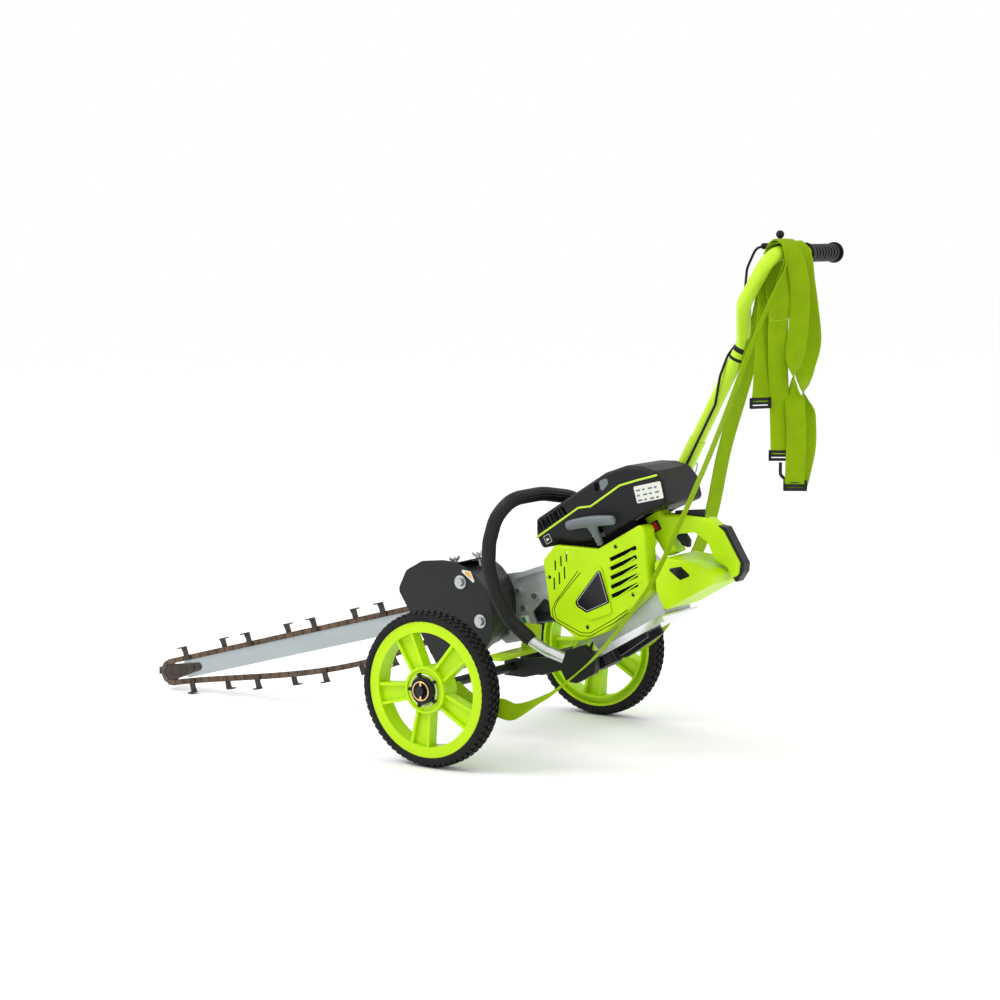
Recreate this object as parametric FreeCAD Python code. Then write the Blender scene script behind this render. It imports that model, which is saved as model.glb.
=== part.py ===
import FreeCAD, Part
import math
import os

# Walk-behind chain trencher: a two-stroke powerhead drives a digging chain
# round a long bar.  Two wheels carry it, and a tall mast with a cross handle
# and a webbing harness lets one person pull it backwards along the trench.
#
# Millimetres.  +X points back to the operator, +Y to the operator's right,
# +Z up.  The model is built with its axle above x = 0 on the ground z = 0,
# and is then moved so that its origin is the middle of its footprint.

V = FreeCAD.Vector
Y_AXIS = V(0, 1, 0)

# ---- driving dimensions -------------------------------------------------
# wheels and axle
WHEEL_DIAMETER = 305.0
TYRE_WIDTH = 46.0
TYRE_DEPTH = 19.5
TYRE_SHOULDER = 9.0
TRACK = 619.0
AXLE_DIAMETER = 19.0
RIM_BAND = 21.0
RIM_WIDTH = 38.0
HUB_DIAMETER = 92.0
HUB_WIDTH = 44.0
SPOKES = 5
SPOKE_WIDTH_HUB = 34.0
SPOKE_WIDTH_RIM = 45.0
FIRST_SPOKE = 44.0
CAP_DIAMETER = 52.0
CAP_DEPTH = 8.0
CAP_LUGS = 5
LYNCH_RING_DIAMETER = 36.0

# digging bar and chain
PITCH = 12.7
RUN_LINKS = 69
SPROCKET_TEETH = 12
BAR_ANGLE = 15.1
BAR_THICKNESS = 6.4
CHAIN_SAG = 43.0
ROLLER_RADIUS = 4.2
TOOTH_CLEARANCE = 0.1
TOOTH_SEAT_RADIUS = 6.0
ROLLER_WIDTH = 8.0
LINK_PLATE = 1.5
LINK_HEIGHT = 11.6
CUTTER_STEPS = (7, 8)
CUTTER_HEIGHT = 26.0
CUTTER_REACH = 15.0
CUTTER_SHEET = 3.0

# guard round the drive sprocket
GUARD_RADIUS = 114.0
FLANGE_RADIUS = 98.0
GUARD_NEAR = -70.0
GUARD_FAR = 40.0
GUARD_SHEET = 3.0
GUARD_RIM = 13.0
GUARD_CORNER = 18.0

# belt arm between the engine and the drive sprocket
ARM_PLATE = 6.0
ARM_DEPTH = 29.0
ARM_WALL = 3.0
BELT_WIDTH = 14.0
BELT_THICKNESS = 4.0
DRUM_RADIUS = 34.0
PULLEY_RADIUS = 34.0

# powerhead
HEAD_TILT = 30.0
HEAD_X = 209.0
HEAD_Z = 196.0
HEAD_NEAR = -95.0
HEAD_FAR = 50.0
SHELL_WALL = 3.0
CRANK_U = 100.0
CRANK_W = 95.0
CRANK_RADIUS = 8.0
CRANK_THROW = 18.0
CRANK_PIN = 6.0
BORE_RADIUS = 24.0
FIN_RADIUS = 40.0
FLYWHEEL_RADIUS = 52.0
STARTER_PULLEY_RADIUS = 30.0
HANDLE_WIDTH = 36.0
HANDLE_Y = -22.0

# mast, cross handle and front handle
MAST_DIAMETER = 34.0
MAST_WALL = 2.5
MAST_Y = 100.0
MAST_SLOPE = 62.4
MAST_FOOT = V(135, MAST_Y, 204)
MAST_LENGTH = 474.0
INNER_LENGTH = 690.0
BAR_HEIGHT = 990.0
CROSSBAR_END = 285.0
GRIP_DIAMETER = 35.0
GRIP_LENGTH = 122.0
FRONT_TUBE_DIAMETER = 22.0
FRONT_GRIP_DIAMETER = 28.0
CABLE_DIAMETER = 5.0
WEBBING_WIDTH = 38.0
WEBBING_THICKNESS = 2.4
GATHERED_WIDTH = 30.0

# clearances
RUNNING = 0.05
GAP = 0.4

# ---- sizes that follow from them ----------------------------------------
AXLE_RADIUS = AXLE_DIAMETER / 2
WHEEL_RADIUS = WHEEL_DIAMETER / 2
RIM_RADIUS = WHEEL_RADIUS - TYRE_DEPTH
HUB_FACE = TRACK / 2 + HUB_WIDTH / 2
CAP_FACE = HUB_FACE + CAP_DEPTH
RING_WIRE = 1.6
RING_Y = CAP_FACE + RING_WIRE + 2.5
AXLE_END = RING_Y + 6.0
PITCH_RADIUS = PITCH / (2 * math.sin(math.pi / SPROCKET_TEETH))
RUN = RUN_LINKS * PITCH
MAST_RADIUS = MAST_DIAMETER / 2
INNER_RADIUS = MAST_RADIUS - MAST_WALL - RUNNING
ARM_NEAR = GUARD_FAR + GUARD_SHEET
ARM_BACK = ARM_NEAR + ARM_PLATE
ARM_FAR = ARM_BACK + ARM_DEPTH
BELT_Y = ARM_BACK + ARM_DEPTH / 2

# Places and outlines (mm; pairs are along and above the tilted engine)
CLAMP_Y = (37.0, 78.0)
CRADLE_BARS = ((-30.0, -22.0), (28.0, 36.0))
BAR_HALF = PITCH_RADIUS - ROLLER_RADIUS - 0.3
BAR_START = 34.0
BAR_END = RUN - 34.0
NOSE_PLATE = 3.0
NOSE_PLATE_RADIUS = 17.4
RIVETS = (44.0, 66.0)
SHAFT_RADIUS = 10.0
GUARD_CENTRE = V(-133, 0, 251)
FLANGE_CENTRE = V(-135, 0, 268)
GUARD_BOLTS = (V(-98, 0, 323), V(-49, 0, 247))
STRIP_TILT = 14.5
STRIP_LENGTH = 156.0
STRIP_THICKNESS = 3.0
WING_NUTS_AT = (53.0, 112.0)
WING_NUTS_Y = -20.0
ARM_BOLTS = (V(-58, 0, 304), V(-32, 0, 296), V(10, 0, 290), V(-18, 0, 262), V(-58, 0, 206))
BLOCK_NEAR = -56.0
BLOCK_WALL = 4.0
CYLINDER_U = CRANK_U
CYLINDER_Y = -14.0
CYLINDER_LOW = 136.0
CYLINDER_HIGH = 214.0
STARTER_OUTLINE = [(16, 212), (56, 226), (108, 196), (142, 176), (262, 176), (236, 120), (205, 52),
                   (76, 26), (14, 34), (-24, 106)]
STARTER_DEPTH = 37.0
SCREW_SPOTS = ((182, 162), (172, 64), (46, 52), (14, 176))
ROPE_MOUTH = V(147, -84, 184)
ROPE_SHOWN = 42.0
PULL = V(0.3, -0.5, 0.812)
PULL_BAR = V(0.938, 0, -0.347)
FILTER_OUTLINE = [(22, 232), (22, 262), (38, 291), (226, 299), (275, 290), (306, 273), (327, 252),
                  (333, 226), (322, 184), (264, 190), (150, 190), (108, 206), (62, 236), (40, 232)]
TANK_FAR = HEAD_FAR - 12
FILLER = (284.0, 40.0)
TANK_OUTLINE = [(212, 8), (332, 8), (346, 26), (318, 60), (264, 98), (238, 100), (214, 50)]
HANDLE_OUTER = [(232, 200), (262, 212), (276, 180), (318, 156), (362, 128), (378, 92), (380, 24), (366, 6),
                (350, 6), (350, 29), (322, 62), (268, 102), (240, 104)]
HANDLE_HOLE = [(266, 140), (322, 118), (338, 90), (336, 46), (300, 54), (270, 92)]
INSERT_OUTLINE = [(366, 112), (392, 92), (392, 14), (352, -6), (352, 8), (370, 22), (370, 88)]
TRIGGER_PIVOT = (278.0, 142.0)
LOCK_PIVOT = (330.0, 138.0)
LEVER_PIN = 2.5
PLATE_LENGTH = 214.0
BUFFER_Y = -58.0
FRONT_ROUTE = [V(150, 64, 430), V(126, 60, 478), V(108, 22, 502), V(86, -50, 514), V(52, -108, 506),
               V(28, -128, 470), V(15, -132, 420), V(13, -132, 372), V(30, -131, 318), V(60, -127, 268),
               V(106, -117, 229), V(138, -108, 210), V(172, -98, 198)]
FRONT_BEND = 34.0
FRONT_SPLIT = V(112, -115, 225)
PIN_RADIUS = 4.0
PIN_AT = 396.0
BAR_X = 552.0
CROSSBAR_START = 24.0
HANDLE_BEND = 30.0
PERCH_Y = (100.0, 110.0)
LEVER_PIVOT = V(BAR_X - 30, 105, BAR_HEIGHT + 8)
ADJUSTER = V(BAR_X - 28, 46, BAR_HEIGHT + 14)
FACING = V(math.cos(math.radians(34)), math.sin(math.radians(34)), 0)
ACROSS = V(0, 1, 0)
BUCKLE_DROP = 4.0


# ---- small geometry helpers ---------------------------------------------
def polar(radius, degrees):
    """Point in the XZ plane at an angle from +X towards +Z."""
    a = math.radians(degrees)
    return V(radius * math.cos(a), 0, radius * math.sin(a))


def outline(points, radius=0.0):
    """Closed wire through (x, z) points, every corner rounded by an arc."""
    corners = [V(x, 0, z) for x, z in points]
    if radius <= 0:
        return Part.makePolygon(corners + corners[:1])
    edges = []
    starts = []
    ends = []
    count = len(corners)
    for i, corner in enumerate(corners):
        back = corners[i - 1] - corner
        ahead = corners[(i + 1) % count] - corner
        half = back.getAngle(ahead) / 2
        reach = min(radius / math.tan(half), 0.45 * back.Length, 0.45 * ahead.Length)
        inset = reach / math.cos(half) - reach * math.tan(half)
        middle = (back.normalize() + ahead.normalize()).normalize()
        start = corner + back * reach
        end = corner + ahead * reach
        edges.append(Part.Arc(start, corner + middle * inset, end).toShape())
        starts.append(start)
        ends.append(end)
    wire = []
    for i, arc in enumerate(edges):
        wire.append(arc)
        wire.append(Part.makeLine(ends[i], starts[(i + 1) % count]))
    return Part.Wire(wire)


def prism(points, y0, y1, radius=0.0):
    """Solid between y0 and y1 with an (x, z) outline."""
    face = Part.Face(outline(points, radius))
    solid = face.extrude(V(0, y1 - y0, 0))
    solid.translate(V(0, y0, 0))
    return solid


def inner_prism(points, y0, y1, radius, wall):
    """The same outline drawn in by a wall thickness."""
    face = Part.Face(outline(points, radius)).makeOffset2D(-wall)
    solid = face.extrude(V(0, y1 - y0, 0))
    solid.translate(V(0, y0, 0))
    return solid


def disc(radius, y0, y1, centre=V(0, 0, 0)):
    """Cylinder along Y."""
    base = V(centre.x, y0, centre.z)
    return Part.makeCylinder(radius, y1 - y0, base, Y_AXIS)


def ring(outer, inner, y0, y1, centre=V(0, 0, 0)):
    return disc(outer, y0, y1, centre).cut(disc(inner, y0 - 1, y1 + 1, centre))


def rod(start, end, radius):
    """Cylinder between two points."""
    along = end - start
    return Part.makeCylinder(radius, along.Length, start, along)


def fuse(shapes):
    solid = shapes[0]
    for other in shapes[1:]:
        solid = solid.fuse(other)
    return solid.removeSplitter()


def cut(solid, tools):
    for tool in tools:
        solid = solid.cut(tool)
    return solid


def group(shapes):
    return Part.makeCompound(shapes)


def route(points, radius):
    """Straight runs joined by tangent arcs, as one wire, and its length."""
    edges = []
    here = points[0]
    for i in range(1, len(points) - 1):
        corner = points[i]
        back = points[i - 1] - corner
        ahead = points[i + 1] - corner
        half = back.getAngle(ahead) / 2
        reach = min(radius / math.tan(half), 0.45 * min(back.Length, ahead.Length))
        inset = reach / math.cos(half) - reach * math.tan(half)
        middle = (back.normalize() + ahead.normalize()).normalize()
        start = corner + back * reach
        end = corner + ahead * reach
        edges.append(Part.makeLine(here, start))
        edges.append(Part.Arc(start, corner + middle * inset, end).toShape())
        here = end
    edges.append(Part.makeLine(here, points[-1]))
    return Part.Wire(edges)


def pipe(points, bend, outer, inner=0.0):
    """Round tube along a route."""
    path = route(points, bend)
    along = points[1] - points[0]
    skin = Part.Wire([Part.makeCircle(outer, points[0], along)])
    solid = path.makePipeShell([skin], True, False)
    if inner > 0:
        core = Part.Wire([Part.makeCircle(inner, points[0], along)])
        solid = solid.cut(path.makePipeShell([core], True, False))
    return solid


def soften(solid, radius, wanted):
    """Fillet the edges that the test picks."""
    edges = [edge for edge in solid.Edges if wanted(edge)]
    return solid.makeFillet(radius, edges)


def at_y(y):
    """Test for edges that lie in the plane of one y value."""
    def test(edge):
        box = edge.BoundBox
        return abs(box.YMin - y) < 0.01 and abs(box.YMax - y) < 0.01
    return test


def tilted(solid):
    """Put a solid drawn in the powerhead's own frame in its place."""
    solid = solid.copy()
    solid.rotate(V(0, 0, 0), Y_AXIS, -HEAD_TILT)
    solid.translate(V(HEAD_X, 0, HEAD_Z))
    return solid


def head_point(u, y, w):
    """Point at u back along the base plate, w above it."""
    a = math.radians(HEAD_TILT)
    x = HEAD_X + u * math.cos(a) - w * math.sin(a)
    z = HEAD_Z + u * math.sin(a) + w * math.cos(a)
    return V(x, y, z)


# ---- chain path ----------------------------------------------------------
def bar_frame():
    along = polar(1, BAR_ANGLE)
    out = polar(1, BAR_ANGLE + 90)
    return along, out


def chain_pins():
    """Pin centres round the loop, seen from a nose sprocket at the origin."""
    along, out = bar_frame()
    tail = along * RUN
    top = out * PITCH_RADIUS
    step = 360.0 / SPROCKET_TEETH
    pins = []
    for i in range(RUN_LINKS):
        pins.append(tail + top - along * (PITCH * i))
    for i in range(SPROCKET_TEETH // 2):
        pins.append(polar(PITCH_RADIUS, BAR_ANGLE + 90 + step * i))
    for i in range(RUN_LINKS):
        t = i / RUN_LINKS
        sag = CHAIN_SAG * math.sin(math.pi * t ** 1.25)
        pins.append(along * (RUN * t) - top - out * sag)
    for i in range(SPROCKET_TEETH // 2):
        pins.append(tail + polar(PITCH_RADIUS, BAR_ANGLE - 90 + step * i))
    return pins


def link_frame(pins, i):
    """Middle, direction of travel and outward direction of one link."""
    a = pins[i]
    b = pins[(i + 1) % len(pins)]
    travel = (b - a).normalize()
    outward = V(travel.z, 0, -travel.x)
    return (a + b) * 0.5, travel, outward


def cutter_links():
    """Numbers of the links that carry a digging tooth."""
    chosen = []
    at = 4
    turn = 0
    while at < len(chain_pins()):
        chosen.append(at)
        at += CUTTER_STEPS[turn % len(CUTTER_STEPS)]
        turn += 1
    return chosen


def lowest_tooth():
    pins = chain_pins()
    tips = []
    for i in cutter_links():
        middle, travel, outward = link_frame(pins, i)
        tips.append((middle + outward * CUTTER_HEIGHT + travel * CUTTER_TOP[0]).z)
        tips.append((middle + outward * CUTTER_HEIGHT + travel * CUTTER_TOP[1]).z)
    return min(tips)


CUTTER_TOP = (-5.0, 11.0)
NOSE = V(-941, 0, -lowest_tooth())
DRIVE = NOSE + polar(RUN, BAR_ANGLE)
CRANK = head_point(CRANK_U, 0, CRANK_W)


# ---- wheels --------------------------------------------------------------
def spoke(side):
    inner_radius = HUB_DIAMETER / 2 - 4
    outer_radius = RIM_RADIUS - RIM_BAND + 2
    hub_half = SPOKE_WIDTH_HUB / 2
    rim_half = SPOKE_WIDTH_RIM / 2
    web = prism([(-hub_half, inner_radius), (hub_half, inner_radius),
                 (rim_half, outer_radius), (-rim_half, outer_radius)],
                min(side * 2, side * 9), max(side * 2, side * 9))
    ribs = []
    rib = 6.0
    for hand in (-1, 1):
        points = [(hand * hub_half, inner_radius), (hand * (hub_half - rib), inner_radius),
                  (hand * (rim_half - rib), outer_radius), (hand * rim_half, outer_radius)]
        ribs.append(prism(points, min(-side * 8, side * 17), max(-side * 8, side * 17)))
    return fuse([web] + ribs)


def wheel_rim(side):
    half = RIM_WIDTH / 2
    band = ring(RIM_RADIUS, RIM_RADIUS - RIM_BAND, -half, half)
    recess = ring(RIM_RADIUS - 5, RIM_RADIUS - RIM_BAND + 4, -side * half - 12, -side * half + 12)
    band = band.cut(recess)
    hub = disc(HUB_DIAMETER / 2, -HUB_WIDTH / 2, HUB_WIDTH / 2)
    hub_end = side * (HUB_WIDTH / 2)
    dish = ring(HUB_DIAMETER / 2 - 5, CAP_DIAMETER / 2 + 3, hub_end - 3, hub_end + 3)
    hub = hub.cut(dish)
    pieces = [band, hub]
    for i in range(SPOKES):
        arm = spoke(side)
        arm.rotate(V(0, 0, 0), Y_AXIS, FIRST_SPOKE + i * 360.0 / SPOKES)
        pieces.append(arm)
    wheel = fuse(pieces)
    wheel = wheel.cut(disc(AXLE_RADIUS + RUNNING, -HUB_WIDTH, HUB_WIDTH))
    wheel.translate(V(0, side * TRACK / 2, WHEEL_RADIUS))
    return wheel


def tyre(side):
    half = TYRE_WIDTH / 2
    carcass = ring(WHEEL_RADIUS, RIM_RADIUS, -half, half)
    carcass = soften(carcass, TYRE_SHOULDER, lambda edge: at_radius(edge, WHEEL_RADIUS))
    carcass.translate(V(0, side * TRACK / 2, WHEEL_RADIUS))
    return carcass


def at_radius(edge, radius):
    box = edge.BoundBox
    flat = box.YLength < 0.01
    return flat and abs(box.XLength / 2 - radius) < 0.01


def hub_cap(side):
    lug_reach = 34.5
    pieces = [disc(CAP_DIAMETER / 2, 0, CAP_DEPTH)]
    for i in range(CAP_LUGS):
        lug = Part.makeBox(lug_reach, CAP_DEPTH - 2, 6, V(0, 0, -3))
        lug.rotate(V(0, 0, 0), Y_AXIS, -72.0 * i)
        pieces.append(lug)
    cap = fuse(pieces)
    cap = cap.cut(disc(AXLE_RADIUS + 1, -1, CAP_DEPTH + 1))
    if side < 0:
        cap.rotate(V(0, 0, 0), V(0, 0, 1), 180)
    cap.translate(V(0, side * HUB_FACE, WHEEL_RADIUS))
    return cap


def axle():
    centre = V(0, 0, WHEEL_RADIUS)
    bar = disc(AXLE_RADIUS, -AXLE_END, AXLE_END, centre)
    pieces = [bar]
    collar = 8.0
    for side in (-1, 1):
        inside = side * (TRACK / 2 - HUB_WIDTH / 2 - GAP)
        edge = inside - side * collar
        pieces.append(disc(AXLE_RADIUS + 5, min(inside, edge), max(inside, edge), centre))
    bar = fuse(pieces)
    for side in (-1, 1):
        pin_hole = Part.makeCylinder(2.5, 60, V(0, side * RING_Y, WHEEL_RADIUS - 30))
        bar = bar.cut(pin_hole)
    return bar


def lynch_rings():
    rings = []
    radius = LYNCH_RING_DIAMETER / 2
    for side in (-1, 1):
        centre = V(0, side * RING_Y, WHEEL_RADIUS)
        loop = Part.makeTorus(radius, RING_WIRE, centre, Y_AXIS)
        pin = Part.makeCylinder(2.4, 2 * radius, centre - V(0, 0, radius))
        rings.append(loop.fuse(pin))
    return group(rings)


# ---- frame under the powerhead -------------------------------------------
def clamp_block():
    points = [(-24, 128), (34, 128), (44, 150), (34, 176), (-24, 176)]
    block = prism(points, CLAMP_Y[0], CLAMP_Y[1], 5)
    return block.cut(disc(AXLE_RADIUS, CLAMP_Y[0] - 1, CLAMP_Y[1] + 1, V(0, 0, WHEEL_RADIUS)))


def cross_strap():
    """Flat bar on the clamp, and the upright that carries the belt arm."""
    flat = Part.makeBox(44, 182, 6, V(-22, -100, 176))
    upright = prism([(-22, 182), (22, 182), (26, 232), (-14, 232)], ARM_NEAR - 6, ARM_NEAR)
    return fuse([flat, upright])


def cradle():
    """Two bent bars from the axle to the base plate."""
    bars = []
    front = head_point(26, 0, -0.5)
    back = head_point(120, 0, -0.5)
    for low, high in CRADLE_BARS:
        points = [(-18, 134), (30, 134), (front.x + 8, front.z - 20), (back.x + 6, back.z - 12),
                  (back.x, back.z), (front.x - 10, front.z - 6), (22, 171), (-18, 171)]
        bar = prism(points, low, high, 3)
        bars.append(bar.cut(disc(AXLE_RADIUS, low - 1, high + 1, V(0, 0, WHEEL_RADIUS))))
    tie_at = (front + V(-40, 0, -14))
    tie = Part.makeBox(20, CRADLE_BARS[1][0] - CRADLE_BARS[0][1], 10,
                       V(tie_at.x, CRADLE_BARS[0][1], tie_at.z))
    above_plate = tilted(Part.makeBox(320, 200, 80, V(-12, -100, -0.5)))
    return fuse(bars + [tie, clamp_block()]).cut(above_plate)


def mast_socket():
    """Welded sleeve that clamps the foot of the mast to the cradle."""
    along = polar(1, MAST_SLOPE)
    start = MAST_FOOT + along * 4
    sleeve = rod(start, start + along * 70, MAST_RADIUS + 4)
    web_points = [(100, 150), (150, 172), (168, 246), (128, 232), (96, 176)]
    web = prism(web_points, CRADLE_BARS[1][1], MAST_Y - 4, 4)
    web = web.cut(inner_prism(web_points, CRADLE_BARS[1][1] - 1, MAST_Y - 3, 4, 4))
    socket = fuse([sleeve, web])
    return socket.cut(rod(MAST_FOOT - along * 40, MAST_FOOT + along * 120, MAST_RADIUS))


# ---- bar, sprockets and chain --------------------------------------------
def along_bar(u, v):
    """Point u along the bar from the nose and v above its centreline."""
    along, out = bar_frame()
    return NOSE + along * u + out * v


def bar_outline(points):
    spots = [along_bar(u, v) for u, v in points]
    return [(spot.x, spot.z) for spot in spots]


def chain_bar():
    corners = [(BAR_START, -12), (BAR_START + 12, -BAR_HALF), (BAR_END - 12, -BAR_HALF),
               (BAR_END, -10), (BAR_END, 10), (BAR_END - 12, BAR_HALF),
               (BAR_START + 12, BAR_HALF), (BAR_START, 12)]
    half = BAR_THICKNESS / 2
    bar = prism(bar_outline(corners), -half, half, 3)
    holes = [disc(3, -half - 1, half + 1, along_bar(u, 0)) for u in RIVETS]
    slots = []
    for u in (RUN - 120, RUN - 78):
        slots.append(disc(5, -half - 1, half + 1, along_bar(u, 0)))
    return cut(bar, holes + slots)


def nose_plates():
    half = BAR_THICKNESS / 2
    plates = []
    tail = RIVETS[1] + 14
    for side in (-1, 1):
        near = min(side * half, side * (half + NOSE_PLATE))
        far = max(side * half, side * (half + NOSE_PLATE))
        round_end = disc(NOSE_PLATE_RADIUS, near, far, NOSE)
        blade = prism(bar_outline([(0, -NOSE_PLATE_RADIUS), (tail, -9), (tail, 9), (0, NOSE_PLATE_RADIUS)]),
                      near, far)
        tip = disc(9, near, far, along_bar(tail, 0))
        plate = fuse([round_end, blade, tip])
        holes = [disc(3, near - 1, far + 1, along_bar(u, 0)) for u in (0,) + RIVETS]
        plates.append(cut(plate, holes))
    return group(plates)


def nose_rivets():
    reach = BAR_THICKNESS / 2 + NOSE_PLATE
    rivets = []
    for u in (0,) + RIVETS:
        centre = along_bar(u, 0)
        shank = disc(3, -reach, reach, centre)
        heads = [disc(4.6, reach, reach + 1.2, centre), disc(4.6, -reach - 1.2, -reach, centre)]
        rivets.append(fuse([shank] + heads))
    return group(rivets)


def sprocket(centre, half, bore):
    """Twelve short teeth that end just inside the circle the rollers run on."""
    wheel = disc(PITCH_RADIUS - ROLLER_RADIUS - TOOTH_CLEARANCE, -half, half, centre)
    seats = []
    for i in range(SPROCKET_TEETH):
        at = centre + polar(PITCH_RADIUS, BAR_ANGLE + 90 + i * 360.0 / SPROCKET_TEETH)
        seats.append(disc(TOOTH_SEAT_RADIUS, -half - 1, half + 1, at))
    return cut(wheel, seats + [disc(bore, -half - 1, half + 1, centre)])


def nose_sprocket():
    return sprocket(NOSE, BAR_THICKNESS / 2 - 0.3, 3 + RUNNING)


def drive_sprocket():
    wheel = sprocket(DRIVE, 3.4, SHAFT_RADIUS)
    hub = ring(16, SHAFT_RADIUS, 3.4, 14, DRIVE)
    return fuse([wheel, hub])


def link_solid(middle, travel, outward, y0, y1):
    """Figure-of-eight side plate of a chain link, drawn as a long round slot."""
    half = PITCH / 2
    r = LINK_HEIGHT / 2
    a = middle - travel * half
    b = middle + travel * half
    arc_a = Part.Arc(a + outward * r, a - travel * r, a - outward * r).toShape()
    arc_b = Part.Arc(b - outward * r, b + travel * r, b + outward * r).toShape()
    wire = Part.Wire([arc_a, Part.makeLine(a - outward * r, b - outward * r), arc_b,
                      Part.makeLine(b + outward * r, a + outward * r)])
    plate = Part.Face(wire).extrude(V(0, y1 - y0, 0))
    plate.translate(V(0, y0, 0))
    return plate


def chain_links():
    pins = chain_pins()
    inner = ROLLER_WIDTH / 2
    outer = inner + LINK_PLATE + 0.2
    links = []
    for i in range(len(pins)):
        middle, travel, outward = link_frame(pins, i)
        middle = middle + NOSE
        start = inner if i % 2 else outer
        for side in (-1, 1):
            low = min(side * start, side * (start + LINK_PLATE))
            links.append(link_solid(middle, travel, outward, low, low + LINK_PLATE))
    for pin in pins:
        links.append(disc(ROLLER_RADIUS, -inner, inner, pin + NOSE))
    return group(links)


def beside_link(frame, t, n):
    """Point along a chain link and outward from it, as (x, z)."""
    middle, travel, outward = frame
    spot = NOSE + middle + travel * t + outward * n
    return (spot.x, spot.z)


def chain_cutters():
    """Bent teeth, set by turns on the near and the far side of the chain."""
    pins = chain_pins()
    foot = ROLLER_WIDTH / 2 + 2 * LINK_PLATE + 0.4
    heel, toe = CUTTER_TOP
    low = CUTTER_HEIGHT - CUTTER_SHEET
    cutters = []
    for number, i in enumerate(cutter_links()):
        side = -1 if number % 2 == 0 else 1
        link = link_frame(pins, i)
        web = [(-8, -5), (8, -5), (7, 12), (toe, CUTTER_HEIGHT), (heel, CUTTER_HEIGHT), (-6, 12)]
        top = [(heel, low), (toe, low), (toe, CUTTER_HEIGHT), (heel, CUTTER_HEIGHT)]
        near = side * foot
        mid = side * (foot + CUTTER_SHEET)
        far = side * (foot + CUTTER_REACH)
        stem = prism([beside_link(link, t, n) for t, n in web], min(near, mid), max(near, mid))
        blade = prism([beside_link(link, t, n) for t, n in top], min(near, far), max(near, far))
        cutters.append(fuse([stem, blade]))
    return group(cutters)


# ---- guard ---------------------------------------------------------------
def guard_points(centre, radius):
    """Outline of the drum: round at the back, cut off towards the bar."""
    points = []
    for i in range(14):
        spot = centre + polar(radius, -100 + i * 15)
        points.append((spot.x, spot.z))
    shrink = radius / GUARD_RADIUS
    for dx, dz in ((-62, 108), (-102, 86), (-123, 44)):
        points.append((GUARD_CENTRE.x + dx * shrink, GUARD_CENTRE.z + dz * shrink))
    return points


def guard_taper(wall):
    """The drum between its near plate and the flange, drawn in by a wall."""
    near = guard_points(GUARD_CENTRE, GUARD_RADIUS - wall)
    far = guard_points(FLANGE_CENTRE, FLANGE_RADIUS - wall)
    rings = []
    for points, y in ((near, GUARD_NEAR - wall / 10), (far, GUARD_FAR - GUARD_RIM - GAP + wall / 10)):
        ring_wire = outline(points, GUARD_CORNER)
        ring_wire.translate(V(0, y, 0))
        rings.append(ring_wire)
    return Part.makeLoft(rings, True, True)


def above_strip():
    """Everything above the underside of the guard's top strip."""
    low = [on_strip(-90, -GAP), on_strip(260, -GAP), on_strip(260, 90), on_strip(-90, 90)]
    return prism([(p.x, p.z) for p in low], GUARD_NEAR - 10, GUARD_FAR + 20)


def guard_shell():
    """Near plate with the tapered wall, open towards the bar and below."""
    points = guard_points(GUARD_CENTRE, GUARD_RADIUS)
    plate = prism(points, GUARD_NEAR, GUARD_NEAR + GUARD_SHEET, GUARD_CORNER)
    wall = guard_taper(0).cut(guard_taper(GUARD_SHEET))
    mouth = prism([(-300, 100), (-100, 100), (-145, 150), (-180, 330), (-225, 372), (-300, 372)],
                  GUARD_NEAR + GUARD_SHEET, GUARD_FAR, 0)
    shell = fuse([plate, cut(wall, [mouth, above_strip()])])
    holes = [disc(4.05, GUARD_NEAR - 1, GUARD_NEAR + 5, at) for at in GUARD_BOLTS]
    return cut(shell, holes)


def guard_back():
    """Fixed half: back plate with a thick rolled rim."""
    points = guard_points(FLANGE_CENTRE, FLANGE_RADIUS)
    plate = prism(points, GUARD_FAR, GUARD_FAR + GUARD_SHEET, GUARD_CORNER)
    rim = prism(points, GUARD_FAR - GUARD_RIM, GUARD_FAR, GUARD_CORNER)
    rim = rim.cut(inner_prism(points, GUARD_FAR - GUARD_RIM - 1, GUARD_FAR + 1, GUARD_CORNER, 9))
    mouth = prism([(-300, 100), (-110, 100), (-150, 150), (-180, 330), (-225, 372), (-300, 372)],
                  GUARD_FAR - GUARD_RIM - 1, GUARD_FAR, 0)
    back = fuse([plate, rim.cut(mouth)])
    holes = [disc(SHAFT_RADIUS + 2, GUARD_FAR - 1, GUARD_FAR + 5, DRIVE)]
    for at in GUARD_BOLTS:
        holes.append(disc(4.05, GUARD_FAR - GUARD_RIM - 1, GUARD_FAR + 5, at))
    return cut(back, holes + [above_strip()])


def guard_bolts():
    """Long bolts with wide washers that hold the two halves together."""
    bolts = []
    end = ARM_NEAR
    for at in GUARD_BOLTS:
        washer = ring(14, 4, GUARD_NEAR - 2, GUARD_NEAR, at)
        head = prism([(at.x + 9 * math.cos(k * math.pi / 3), at.z + 9 * math.sin(k * math.pi / 3))
                      for k in range(6)], GUARD_NEAR - 8, GUARD_NEAR - 2)
        shank = disc(4, GUARD_NEAR - 2, end, at)
        bolts.append(fuse([head, shank]))
        bolts.append(washer)
    return group(bolts)


def on_strip(t, n):
    """Point along the strip on top of the guard, and above it."""
    start = V(-196, 0, 337)
    return start + polar(t, STRIP_TILT) + polar(n, STRIP_TILT + 90)


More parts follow.
